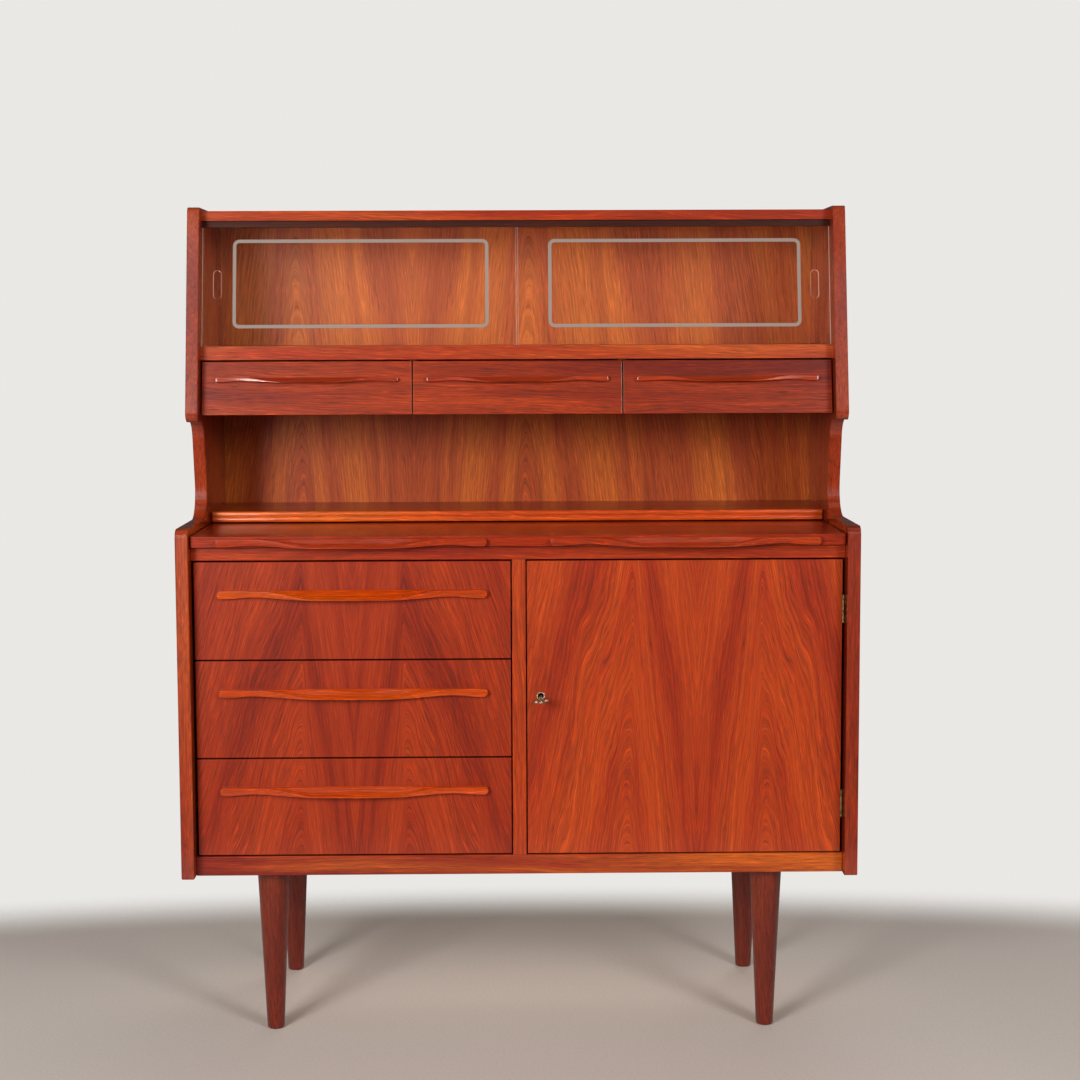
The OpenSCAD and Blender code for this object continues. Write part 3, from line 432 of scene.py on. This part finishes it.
def line_ring(spread, rise, foot, inset, lift):
    """Points round the line at inset from its outer edge, lift in front of the pane."""
    radius = line_r - inset
    points = []
    for x, z, start in ((spread[1] - line_r, rise[1] - line_r, 0),
                        (spread[0] + line_r, rise[1] - line_r, 90),
                        (spread[0] + line_r, rise[0] + line_r, 180),
                        (spread[1] - line_r, rise[0] + line_r, 270)):
        for step in range(9):
            angle = math.radians(start + 90 * step / 8)
            place = foot + up_pane * (z + radius * math.sin(angle)) + off_pane * lift
            points.append(Vector((x + radius * math.cos(angle), place.y, place.z)))
    return points


for side, spread in etched.items():
    node = "glass_" + side
    pane = ease(node, clear_glass, "glass", 0.25 * mm)
    pane.data.materials.append(ground_glass)
    # the upright cut edges and the small facets of the grip are ground
    for face in pane.data.polygons:
        along_x = abs(face.normal.x)
        in_grip = 0.1 < along_x < 0.98 and face.area < grip_facet
        if along_x > 0.3 or in_grip:
            face.material_index = 1
    low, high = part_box(node)
    foot = Vector((0, low.y, low.z + groove_floor * math.sin(slant)))
    rise = [(z - foot.z) / math.cos(slant) for z in etched_z]
    rings = [line_ring(spread, rise, foot, inset, lift)
             for inset, lift in ((0, 0), (0, skin), (line_w, skin), (line_w, 0))]
    line = loft("etched_line_" + side, rings, etched_glass, loop=True)
    finish_piece(line, "pane_" + side, "glass")


# ---- small drawers ---------------------------------------------------------
# Three shallow drawers whose 14 mm teak fronts lean back with the hutch, grain
# lengthwise, and whose ends show the pale core. The boxes behind them are thin beech
# boards, waxed and not stained.

tray_teak = sawn_wood("teak veneer, lengthwise, satin lacquer", "ZYX", "#4c0d02", "#7a1a02",
                      "#b23c08", heart=0.78, taper=0.02, ring=3.2 * mm, golden=-0.16)
box_beech = sawn_wood("beech, waxed", "ZXY", "#a47d50", "#cfa877", "#dcb98c", heart=0.05,
                      taper=0.02, ring=3 * mm, figure=0.25, gloss=0.55, coat=0.0)
for tray in ("left", "middle", "right"):
    front = ease(f"small_drawer_{tray}_front", tray_teak, "teak_veneer", 0.8 * mm)
    front.data.materials.append(box_beech)
    for face in front.data.polygons:
        if abs(face.normal.x) > 0.99:
            face.material_index = 1
    ease(f"small_drawer_{tray}_box", box_beech, "pale_wood", 0.5 * mm)


# ---- large drawers ---------------------------------------------------------
# Three drawers under the left half. One pair of book-matched crown-cut leaves is laid
# over all three fronts, so the arches run on from drawer to drawer. The grooved beech
# boxes hang on hardwood runners.

drawer_low, drawer_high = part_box("drawer_top_front")
drawer_joint = (drawer_low.x + drawer_high.x) / 2
drawer_teak = sawn_wood("teak veneer, book-matched over the drawers", "XYZ", "#4e140a",
                        "#932607", "#b83f0d", heart=0.078, joint=drawer_joint, pith=0.008,
                        taper=0.3, steep=2.6, ring=5.5 * mm, figure=0.6)
for level in ("top", "middle", "bottom"):
    ease(f"drawer_{level}_front", drawer_teak, "teak_veneer", 0.7 * mm)
    ease(f"drawer_{level}_box", box_beech, "pale_wood", 0.6 * mm)
ease("drawer_runners", box_beech, "pale_wood", 0.6 * mm)


# ---- writing board ---------------------------------------------------------
# A veneered board with solid edges that slides out over the deck. Two pegs under it run in
# slots of the deck and stop it part of the way out.

board_teak = sawn_wood("teak veneer, writing board, satin lacquer", "YZX", "#5c1504", "#8f1e03",
                       "#ab3508", heart=-0.1, taper=0.03, ring=4.6 * mm, gloss=0.34)
ease("writing_board", board_teak, "teak_veneer", 1.2 * mm)
# the stops take the near-black teak of the strip, whose darkness is painted shade
ease("board_stops", shade_painted_teak, "teak_dark", 0.8 * mm)


# ---- handles ---------------------------------------------------------------
# Bars of solid teak, carved and glued to the fronts and to the edge of the writing board.
# Each has round ends, a thin waist and a deep middle whose upper side is scooped down to
# a lip for the fingers, so that the flat front narrows to nothing there.

def ramp(value, start, end):
    """0 before start, 1 after end, and a smooth rise between them."""
    t = min(1.0, max(0.0, (value - start) / (end - start)))
    return t * t * (3 - 2 * t)


def handle_section(share, height, reach):
    """The section at a share of the half length: distance from the wall, and height."""
    deep = height[2] + (height[1] - height[2]) * ramp(share, 0.34, 0.74)
    deep += (height[0] - height[1]) * ramp(share, 0.74, 0.94)
    nose = reach[1] + (reach[0] - reach[1]) * ramp(share, 0.0, 0.9)
    scoop = 1 - ramp(share, 0.3, 0.82)
    crease = 0.5 * mm + (deep - 1.4 * mm) * (1 - ramp(share, 0.26, 0.7))
    ledge = nose - 0.8 * mm - (nose - 3.2 * mm) * scoop
    under = 0.32 * deep * scoop
    hollow = Vector(((ledge + nose) / 2 - 0.5 * mm * scoop, -crease / 2 - 1.0 * mm * scoop))
    return [Vector((0, 0)), Vector((ledge, 0)), hollow, Vector((nose, -crease)),
            Vector((nose - 0.3 * mm, -deep)), Vector((0.45 * nose, -deep + under)),
            Vector((0, -deep + under))], deep


def rounded(corners, radius):
    """The corners of a section with all but the first and last drawn round."""
    points = [corners[0]]
    for before, corner, after in zip(corners, corners[1:], corners[2:]):
        a, b = before - corner, after - corner
        reach = min(radius, 0.45 * a.length, 0.45 * b.length)
        start, end = corner + a.normalized() * reach, corner + b.normalized() * reach
        for t in (0, 0.25, 0.5, 0.75, 1):
            points.append(start * (1 - t) ** 2 + corner * 2 * t * (1 - t) + end * t * t)
    return points + [corners[-1]]


def carve_handle(name, origin, lean, length, height, reach, material):
    """Sweeps the section from end to end. origin is the middle of the top edge at the wall."""
    half, end = length / 2, height[0] / 2
    stations = [half - end + end * math.sin(math.radians(a)) for a in (85, 78, 66, 50, 33, 16)]
    stations += [(half - end) * (1 - i / 32) for i in range(33)]
    stations += [-x for x in reversed(stations[:-1])]
    out = Vector((0, -math.cos(lean), math.sin(lean)))
    up = Vector((0, math.sin(lean), math.cos(lean)))
    rings = []
    for x in stations:
        corners, deep = handle_section(abs(x) / half, height, reach)
        tip = max(0.0, abs(x) - half + end) / end
        shrink = math.sqrt(1 - tip * tip)
        ring = []
        for p in rounded(corners, 1.5 * mm):
            z = (p.y + deep / 2) * shrink - deep / 2
            ring.append(origin + Vector((x, 0, 0)) + out * p.x * (0.84 + 0.16 * shrink) + up * z)
        rings.append(ring)
    return loft(name, rings, material)


handle_teak = sawn_wood("teak, carved handle, satin lacquer", "ZYX", "#8a2503", "#bf3f03",
                        "#d65c0a", heart=-0.04, taper=0.01, ring=2.6 * mm, figure=0.35,
                        gloss=0.36, coat=0.7)
board_handle_teak = sawn_wood("teak, writing board handle, satin lacquer", "ZYX", "#641603",
                              "#ab3206", "#c0460c", heart=-0.04, taper=0.01, ring=2.6 * mm,
                              figure=0.35, gloss=0.36, coat=1.0)
tray_handle_teak = sawn_wood("teak, small carved handle, satin lacquer", "ZYX", "#701a03",
                             "#a32c04", "#b8430a", heart=-0.04, taper=0.01, ring=2.6 * mm,
                             figure=0.35, gloss=0.36, coat=0.8)
large_height, large_reach = (12 * mm, 9.5 * mm, 14 * mm), (10 * mm, 19 * mm)
small_height, small_reach = (8 * mm, 6.5 * mm, 9.5 * mm), (8 * mm, 15 * mm)
large_handles = {"drawer_top_handle": "drawer_top", "drawer_middle_handle": "drawer_middle",
                 "drawer_bottom_handle": "drawer_bottom", "board_handle_left": "board",
                 "board_handle_right": "board"}
for node, body in large_handles.items():
    low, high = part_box(node)
    origin = Vector(((low.x + high.x) / 2, high.y, high.z))
    bar = carve_handle(node + "_bar", origin, 0.0, high.x - low.x, large_height, large_reach,
                       board_handle_teak if body == "board" else handle_teak)
    finish_piece(bar, body, "teak_solid", node)
small_handle_rise = 56 * mm
for tray in ("left", "middle", "right"):
    node = f"small_drawer_{tray}_handle"
    low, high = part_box(node)
    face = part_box(f"small_drawer_{tray}_front")[0]
    origin = Vector(((low.x + high.x) / 2, face.y + small_handle_rise * math.tan(slant),
                     face.z + small_handle_rise))
    bar = carve_handle(node + "_bar", origin, slant, high.x - low.x, small_height, small_reach,
                       tray_handle_teak)
    finish_piece(bar, f"small_drawer_{tray}", "teak_solid", node)


# ---- door and cupboard -----------------------------------------------------
# One plain door hung on the right, faced with two crown-cut leaves whose arches stand at
# a third and three quarters of its width. Inside is one loose shelf on four pins.

door_low, door_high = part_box("door_panel")
door_joint = door_low.x + 0.54 * (door_high.x - door_low.x)
door_teak = sawn_wood("teak veneer, book-matched on the door", "XYZ", "#5a1a0c", "#a32e0c",
                      "#c64d12", heart=0.1, joint=door_joint, pith=0.012, taper=0.2, steep=2.0,
                      ring=6.5 * mm, figure=0.5, sway=0.03)
ease("door_panel", door_teak, "teak_veneer", 0.7 * mm)
ease("cupboard_shelf", shelf_teak, "teak_veneer", 0.7 * mm)


# ---- hinges, lock and key --------------------------------------------------
# Small fittings, dulled with age: brass butt hinges on steel pins, a steel mortice lock with
# a brass bolt, and in nickel-plated brass a ring round the keyhole and a cast key with a
# pierced three-lobed bow.

def old_metal(name, clean, dull, rough):
    """A metal with patches of patina 4 mm wide, and 0.4 mm wear that dulls its shine."""
    material = bpy.data.materials.new(name)
    material.use_nodes = True
    tree = material.node_tree
    shader = tree.nodes["Principled BSDF"]
    shader.inputs["Metallic"].default_value = 1.0
    spot = add(tree, "ShaderNodeTexCoord", {})
    patch = add(tree, "ShaderNodeTexNoise", {"Vector": spot.outputs["Object"], "Scale": 240.0,
                                             "Detail": 4.0})
    fine = add(tree, "ShaderNodeTexNoise", {"Vector": spot.outputs["Object"], "Scale": 2500.0,
                                            "Detail": 2.0})
    worn = add(tree, "ShaderNodeMapRange", {0: patch.outputs["Fac"], 1: 0.4, 2: 0.62})
    shade = add(tree, "ShaderNodeMix", {0: worn, 6: linear(dull), 7: linear(clean)},
                data_type="RGBA")
    tree.links.new(shade.outputs[2], shader.inputs["Base Color"])
    matt = add(tree, "ShaderNodeMapRange", {0: worn, 3: rough + 0.2, 4: rough})
    tree.links.new(matt.outputs[0], shader.inputs["Roughness"])
    bump = add(tree, "ShaderNodeBump", {"Height": fine.outputs["Fac"], "Strength": 0.2,
                                        "Distance": 0.04 * mm})
    tree.links.new(bump.outputs[0], shader.inputs["Normal"])
    return material


old_brass = old_metal("brass, aged", "#b59a6a", "#6b5a3e", 0.3)
nickel = old_metal("nickel-plated brass, worn", "#d6ccb6", "#958a70", 0.38)
steel = old_metal("steel, zinc-plated", "#c4c4c0", "#96948c", 0.34)
for node in ("hinge_frame_leaves", "hinge_door_leaves"):
    ease(node, old_brass, "brass", 0.15 * mm)
for node in ("hinge_pins", "lock_case", "strike_plate"):
    ease(node, steel, "steel", 0.15 * mm)
ease("lock_bolt", old_brass, "brass", 0.3 * mm)
ease("shelf_pins", old_brass, "brass", 0.3 * mm)

ring_low, ring_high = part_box("escutcheon")
ring_middle = (ring_low + ring_high) / 2
ring_r = (ring_high.x - ring_low.x) / 2
bore_r = 4.2 * mm
rings = []
for step in range(48):
    turn = 2 * math.pi * step / 48
    rim = []
    for radius, y in ((ring_r, ring_high.y), (ring_r, ring_low.y + 0.5 * mm),
                      (ring_r - 0.25 * mm, ring_low.y + 0.15 * mm),
                      (ring_r - 0.8 * mm, ring_low.y), (bore_r + 0.5 * mm, ring_low.y + 0.15 * mm),
                      (bore_r, ring_low.y + 0.7 * mm), (bore_r, ring_high.y)):
        rim.append(Vector((ring_middle.x + radius * math.cos(turn), y,
                           ring_middle.z + radius * math.sin(turn))))
    rings.append(rim)
finish_piece(loft("keyhole_ring", rings, nickel, loop=True), "door", "brass", "escutcheon")

key_low, key_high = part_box("door_key")
key_x = (key_low.x + key_high.x) / 2
key_z = ring_middle.z - 1.7 * mm
bow_tilt = math.radians(8)
shank_r = 2.1 * mm
collar_r = shank_r + 1.1 * mm
lobe_r, eye_r, lobe_x = 4.6 * mm, 2.4 * mm, 7.4 * mm
arm_x = 5.2 * mm
tip_y = key_low.y + lobe_r
lobe_y = tip_y + 8 * mm
collar_y = lobe_y + 9 * mm


def lathe_y(profile, turns):
    """Rings about the Y axis for a profile of (radius, y)."""
    return [[Vector((r * math.cos(2 * math.pi * i / turns), y,
                     r * math.sin(2 * math.pi * i / turns))) for i in range(turns)]
            for r, y in profile]


shank_profile = (
    (0.3 * mm, key_high.y), (shank_r, key_high.y - 0.4 * mm), (shank_r, collar_y + 6 * mm),
    (collar_r, collar_y + 5.6 * mm), (collar_r, collar_y + 4.2 * mm),
    (shank_r, collar_y + 3.6 * mm), (shank_r, collar_y + 2.4 * mm),
    (collar_r, collar_y + 1.8 * mm), (collar_r, collar_y + 0.4 * mm),
    (shank_r, collar_y - 0.4 * mm), (shank_r * 0.8, lobe_y), (0.3 * mm, lobe_y - 2 * mm))


def bow_eye(x, y):
    """One pierced lobe of the bow: a ring of flattened wire round (x, y)."""
    middle_r, wire_r = (lobe_r + eye_r) / 2, (lobe_r - eye_r) / 2
    eye = []
    for i in range(32):
        turn = 2 * math.pi * i / 32
        wire = []
        for j in range(12):
            roll = 2 * math.pi * j / 12
            r = middle_r + wire_r * math.cos(roll)
            wire.append(Vector((x + r * math.cos(turn), y + r * math.sin(turn),
                                1.2 * wire_r * math.sin(roll))))
        eye.append(wire)
    return loft("eye", eye, nickel, loop=True)


def bow_arm(side):
    """The bar from the collar out to the lobe on one side."""
    start_y, end_y = collar_y - 0.5 * mm, lobe_y + 3 * mm
    arm = []
    for share in (0, 0.5, 1):
        x, y = side * share * arm_x, start_y + share * (end_y - start_y)
        turns = [2 * math.pi * i / 12 for i in range(12)]
        arm.append([Vector((x + 1.0 * mm * math.cos(a), y + 0.6 * mm * math.sin(a),
                            1.1 * mm * math.sin(a + 0.5))) for a in turns])
    return loft("arm", arm, nickel)


shells = [loft("shank", lathe_y(shank_profile, 32), nickel)]
shells += [bow_eye(x, y) for x, y in ((-lobe_x, lobe_y), (lobe_x, lobe_y), (0, tip_y))]
shells += [bow_arm(side) for side in (-1, 1)]
joined = bmesh.new()
for shell in shells:
    joined.from_mesh(shell.data)
    bpy.data.objects.remove(shell)
key_mesh = bpy.data.meshes.new("door_key_cast")
joined.to_mesh(key_mesh)
joined.free()
key_mesh.transform(Matrix.Translation((key_x, 0, key_z)) @ Matrix.Rotation(-bow_tilt, 4, "Y"))
key_mesh.materials.append(nickel)
key = bpy.data.objects.new("door_key_cast", key_mesh)
bpy.context.scene.collection.objects.link(key)
cast = key.modifiers.new("cast in one", "REMESH")
cast.mode = "VOXEL"
cast.voxel_size = 0.3 * mm
soft = key.modifiers.new("tumbled", "SMOOTH")
soft.factor = 0.5
soft.iterations = 3
flatten(key)
key.data.materials.clear()
key.data.materials.append(nickel)
finish_piece(key, "key", "brass", "door_key")


# ---- screws ----------------------------------------------------------------
# Slotted countersunk wood screws of zinc-plated steel, driven through the backs, the hinge
# leaves and the leg plates. One turned head is set at each hole and faces out of it.

screw_tree = bpy.data.node_groups.new("screws at holes", "GeometryNodeTree")
for label, kind in (("Holes", "NodeSocketGeometry"), ("Screw", "NodeSocketObject"),
                    ("Size", "NodeSocketFloat"), ("Metal", "NodeSocketMaterial")):
    screw_tree.interface.new_socket(label, in_out="INPUT", socket_type=kind)
screw_tree.interface.new_socket("Screws", in_out="OUTPUT", socket_type="NodeSocketGeometry")
given = add(screw_tree, "NodeGroupInput", {})
facing = add(screw_tree, "GeometryNodeInputNamedAttribute", {"Name": "facing"},
             data_type="FLOAT_VECTOR")
aim = add(screw_tree, "FunctionNodeAlignRotationToVector", {"Vector": facing}, axis="Z")
pattern = add(screw_tree, "GeometryNodeObjectInfo", {"Object": given.outputs["Screw"]})
placed = add(screw_tree, "GeometryNodeInstanceOnPoints", {
    "Points": given.outputs["Holes"], "Instance": pattern.outputs["Geometry"],
    "Rotation": aim, "Scale": given.outputs["Size"]})
real = add(screw_tree, "GeometryNodeRealizeInstances", {0: placed})
metal = add(screw_tree, "GeometryNodeSetMaterial", {"Geometry": real,
                                                    "Material": given.outputs["Metal"]})
add(screw_tree, "NodeGroupOutput", {0: metal})

head_r, slot_half = 2.7 * mm, 0.35 * mm
head_profile = ((0.9 * mm, -3.2 * mm), (1.4 * mm, -1.6 * mm), (head_r, -0.25 * mm),
                (head_r, -0.08 * mm), (head_r - 0.15 * mm, 0.0))
head_rings = [[Vector((radius * math.cos(2 * math.pi * i / 24),
                       radius * math.sin(2 * math.pi * i / 24), z)) for i in range(24)]
              for radius, z in head_profile]
screw = loft("wood_screw", head_rings, steel)
bpy.context.scene.collection.objects.link(screw)
bpy.ops.mesh.primitive_cube_add(size=1)
cutter = bpy.context.active_object
cutter.data.transform(Matrix.Diagonal((2 * slot_half, 8 * mm, 1.6 * mm, 1)))
slot_cut = screw.modifiers.new("slot", "BOOLEAN")
slot_cut.object = cutter
slot_cut.operation = "DIFFERENCE"
slot_cut.solver = "EXACT"
flatten(screw)
bpy.data.objects.remove(cutter)


def fix_screws(name, body, holes, nodes=()):
    """Sets a screw at each (place, facing) and leaves one plain mesh on the body."""
    mesh = bpy.data.meshes.new(name)
    mesh.from_pydata([place for place, _ in holes], [], [])
    facing_at = mesh.attributes.new("facing", "FLOAT_VECTOR", "POINT")
    facing_at.data.foreach_set("vector", [c for _, way in holes for c in way])
    piece = bpy.data.objects.new(name, mesh)
    bpy.context.scene.collection.objects.link(piece)
    setter = piece.modifiers.new("screws", "NODES")
    setter.node_group = screw_tree
    values = {"Screw": screw, "Size": 1.0, "Metal": steel}
    for item in screw_tree.interface.items_tree:
        if item.name in values:
            setter[item.identifier] = values[item.name]
    flatten(piece)
    finish_piece(piece, body, "steel", *nodes)


def islands(node):
    """The box of each separate solid in a frame part."""
    work = bmesh.new()
    work.from_mesh(frame["nodes"][node].data)
    bmesh.ops.remove_doubles(work, verts=work.verts, dist=0.002 * mm)
    left, boxes = set(work.verts), []
    while left:
        heap, found = [left.pop()], []
        while heap:
            vert = heap.pop()
            found.append(vert.co.copy())
            for edge in vert.link_edges:
                other = edge.other_vert(vert)
                if other in left:
                    left.remove(other)
                    heap.append(other)
        boxes.append((Vector([min(c[i] for c in found) for i in range(3)]),
                      Vector([max(c[i] for c in found) for i in range(3)])))
    work.free()
    return sorted(boxes, key=lambda b: tuple(round(c, 5) for c in b[0]))


back_holes = [(Vector(((a.x + b.x) / 2, b.y, (a.z + b.z) / 2)), (0, 1, 0))
              for a, b in islands("back_screws")]
fix_screws("back_screw_heads", "cabinet", back_holes, ("back_screws",))
frame_holes = [(Vector((a.x, (a.y + b.y) / 2, (a.z + b.z) / 2)), (-1, 0, 0))
               for a, b in islands("hinge_frame_screws")]
fix_screws("hinge_screws_frame", "cabinet", frame_holes, ("hinge_frame_screws",))
door_holes = [(Vector((b.x, (a.y + b.y) / 2, (a.z + b.z) / 2)), (1, 0, 0))
              for a, b in islands("hinge_door_screws")]
fix_screws("hinge_screws_door", "door", door_holes, ("hinge_door_screws",))
plate_holes = []
hole_in = 9 * mm
for a, b in islands("leg_plates"):
    for x in (a.x + hole_in, b.x - hole_in):
        for y in (a.y + hole_in, b.y - hole_in):
            plate_holes.append((Vector((x, y, a.z - 0.1 * mm)), (0, 0, -1)))
fix_screws("leg_plate_screws", "cabinet", plate_holes)
bpy.data.objects.remove(screw)


# ---- legs ------------------------------------------------------------------
# Four legs turned from solid teak, tapered to the foot and stained darker than the case.
# Hanger bolts hold them to steel plates under the bottom.

for name in ("leg_front_left", "leg_front_right", "leg_rear_left", "leg_rear_right"):
    low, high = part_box(name)
    leg_teak = sawn_wood("teak, turned, dark stain: " + name.replace("_", " "), "XYZ",
                         "#380e05", "#6c1d08", "#8c300e", heart=(low.x + high.x) / 2 - 0.02,
                         taper=0.03, ring=2.8 * mm, figure=0.35)
    ease(name, leg_teak, "teak_dark", 0.8 * mm)
for node in ("leg_plates", "leg_bolts"):
    ease(node, steel, "steel", 0.2 * mm)


# ---- room ------------------------------------------------------------------
# A pale floor that fades into a pale, even backdrop. Two soft lamps with a dim panel beside
# each stand in front to the left and right, and two fills stand overhead and behind.

def soft_lamp(name, azimuth, elevation, distance, width, height, power):
    """A soft panel that looks at the middle of the desk."""
    lamp = bpy.data.lights.new(name, "AREA")
    lamp.shape = "RECTANGLE"
    lamp.size = width
    lamp.size_y = height
    lamp.energy = power
    lamp.color = (1.0, 0.965, 0.925)
    holder = bpy.data.objects.new(name, lamp)
    holder.visible_camera = False
    a, e = math.radians(azimuth), math.radians(elevation)
    way = Vector((math.sin(a) * math.cos(e), -math.cos(a) * math.cos(e), math.sin(e)))
    target = Vector((0, 0, 0.85))
    holder.location = target + way * distance
    holder.rotation_euler = (-way).to_track_quat("-Z", "Y").to_euler()
    bpy.context.scene.collection.objects.link(holder)
    return holder


soft_lamp("window left", -28, 9, 3.4, 0.8, 1.0, 62)
soft_lamp("window right", 33, 15, 3.4, 0.7, 0.9, 34)
soft_lamp("curtain left", -32, 17, 3.6, 1.64, 2.2, 20)
soft_lamp("curtain right", 32, 14, 3.6, 1.64, 2.0, 13)
soft_lamp("ceiling", 0, 75, 2.6, 2.0, 1.0, 3)
back_wall = soft_lamp("back wall", 168, 26, 3.4, 2.4, 1.6, 34)
# the wall behind lights the back softly and leaves no glint on the arrises
back_wall.visible_glossy = False

reach = 6.0
floor_mesh = bpy.data.meshes.new("floor")
floor_mesh.from_pydata([(-reach, -reach, 0), (reach, -reach, 0), (reach, reach, 0),
                        (-reach, reach, 0)], [], [(0, 1, 2, 3)])
floor = bpy.data.objects.new("floor", floor_mesh)
bpy.context.scene.collection.objects.link(floor)
floor_paint = bpy.data.materials.new("pale woven floor")
floor_paint.use_nodes = True
tree = floor_paint.node_tree
shader = tree.nodes["Principled BSDF"]
spot = add(tree, "ShaderNodeTexCoord", {})
# loops of yarn about 5 mm wide
tuft = add(tree, "ShaderNodeTexNoise", {"Vector": spot.outputs["Object"], "Scale": 220.0,
                                        "Detail": 3.0})
pile = add(tree, "ShaderNodeMix", {0: tuft.outputs["Fac"], 6: linear("#d6cdc7"),
                                   7: linear("#ebe3de")}, data_type="RGBA")
tree.links.new(pile.outputs[2], shader.inputs["Base Color"])
shader.inputs["Roughness"].default_value = 0.95
oval = add(tree, "ShaderNodeVectorMath", {0: spot.outputs["Object"], 1: (0.45, 1, 1),
                                          2: (0, 0.4, 0)}, operation="MULTIPLY_ADD")
away = add(tree, "ShaderNodeVectorMath", {0: oval}, operation="LENGTH")
edge = add(tree, "ShaderNodeMapRange", {0: away.outputs["Value"], 1: 0.85, 2: 1.1})
edge.interpolation_type = "SMOOTHSTEP"
gone = add(tree, "ShaderNodeBsdfTransparent", {})
mix = add(tree, "ShaderNodeMixShader", {0: edge, 1: shader.outputs[0], 2: gone})
tree.links.new(mix.outputs[0], tree.nodes["Material Output"].inputs["Surface"])
floor_mesh.materials.append(floor_paint)

world = bpy.data.worlds.new("room")
bpy.context.scene.world = world
world.use_nodes = True
tree = world.node_tree
seen = tree.nodes["Background"]
seen.inputs["Color"].default_value = linear("#eae8e5")
glow = add(tree, "ShaderNodeBackground", {"Color": linear("#f1ece6"), "Strength": 0.07})
path = add(tree, "ShaderNodeLightPath", {})
mix = add(tree, "ShaderNodeMixShader", {0: path.outputs["Is Camera Ray"], 1: glow, 2: seen})
tree.links.new(mix.outputs[0], tree.nodes["World Output"].inputs["Surface"])
bpy.context.scene.view_settings.view_transform = "Standard"

# the camera stands 3 m in front of the desk, a metre up, turned and tipped a little
standpoint = Vector((-0.0081, -3.2355, 1.0487))
pitch, yaw, roll = math.radians(5.612), math.radians(0.743), math.radians(-0.2085)
forward = Vector((math.sin(yaw) * math.cos(pitch), math.cos(yaw) * math.cos(pitch),
                  -math.sin(pitch)))
level = Vector((math.cos(yaw), -math.sin(yaw), 0))
upright = level.cross(forward)
right = level * math.cos(roll) + upright * math.sin(roll)
top = upright * math.cos(roll) - level * math.sin(roll)
lens = bpy.data.cameras.new("camera")
lens.sensor_width = 36
lens.lens = 69.87
camera = bpy.data.objects.new("camera", lens)
turned = Matrix((right, top, -forward)).transposed().to_4x4()
camera.matrix_world = Matrix.Translation(standpoint) @ turned
bpy.context.scene.collection.objects.link(camera)
bpy.context.scene.camera = camera
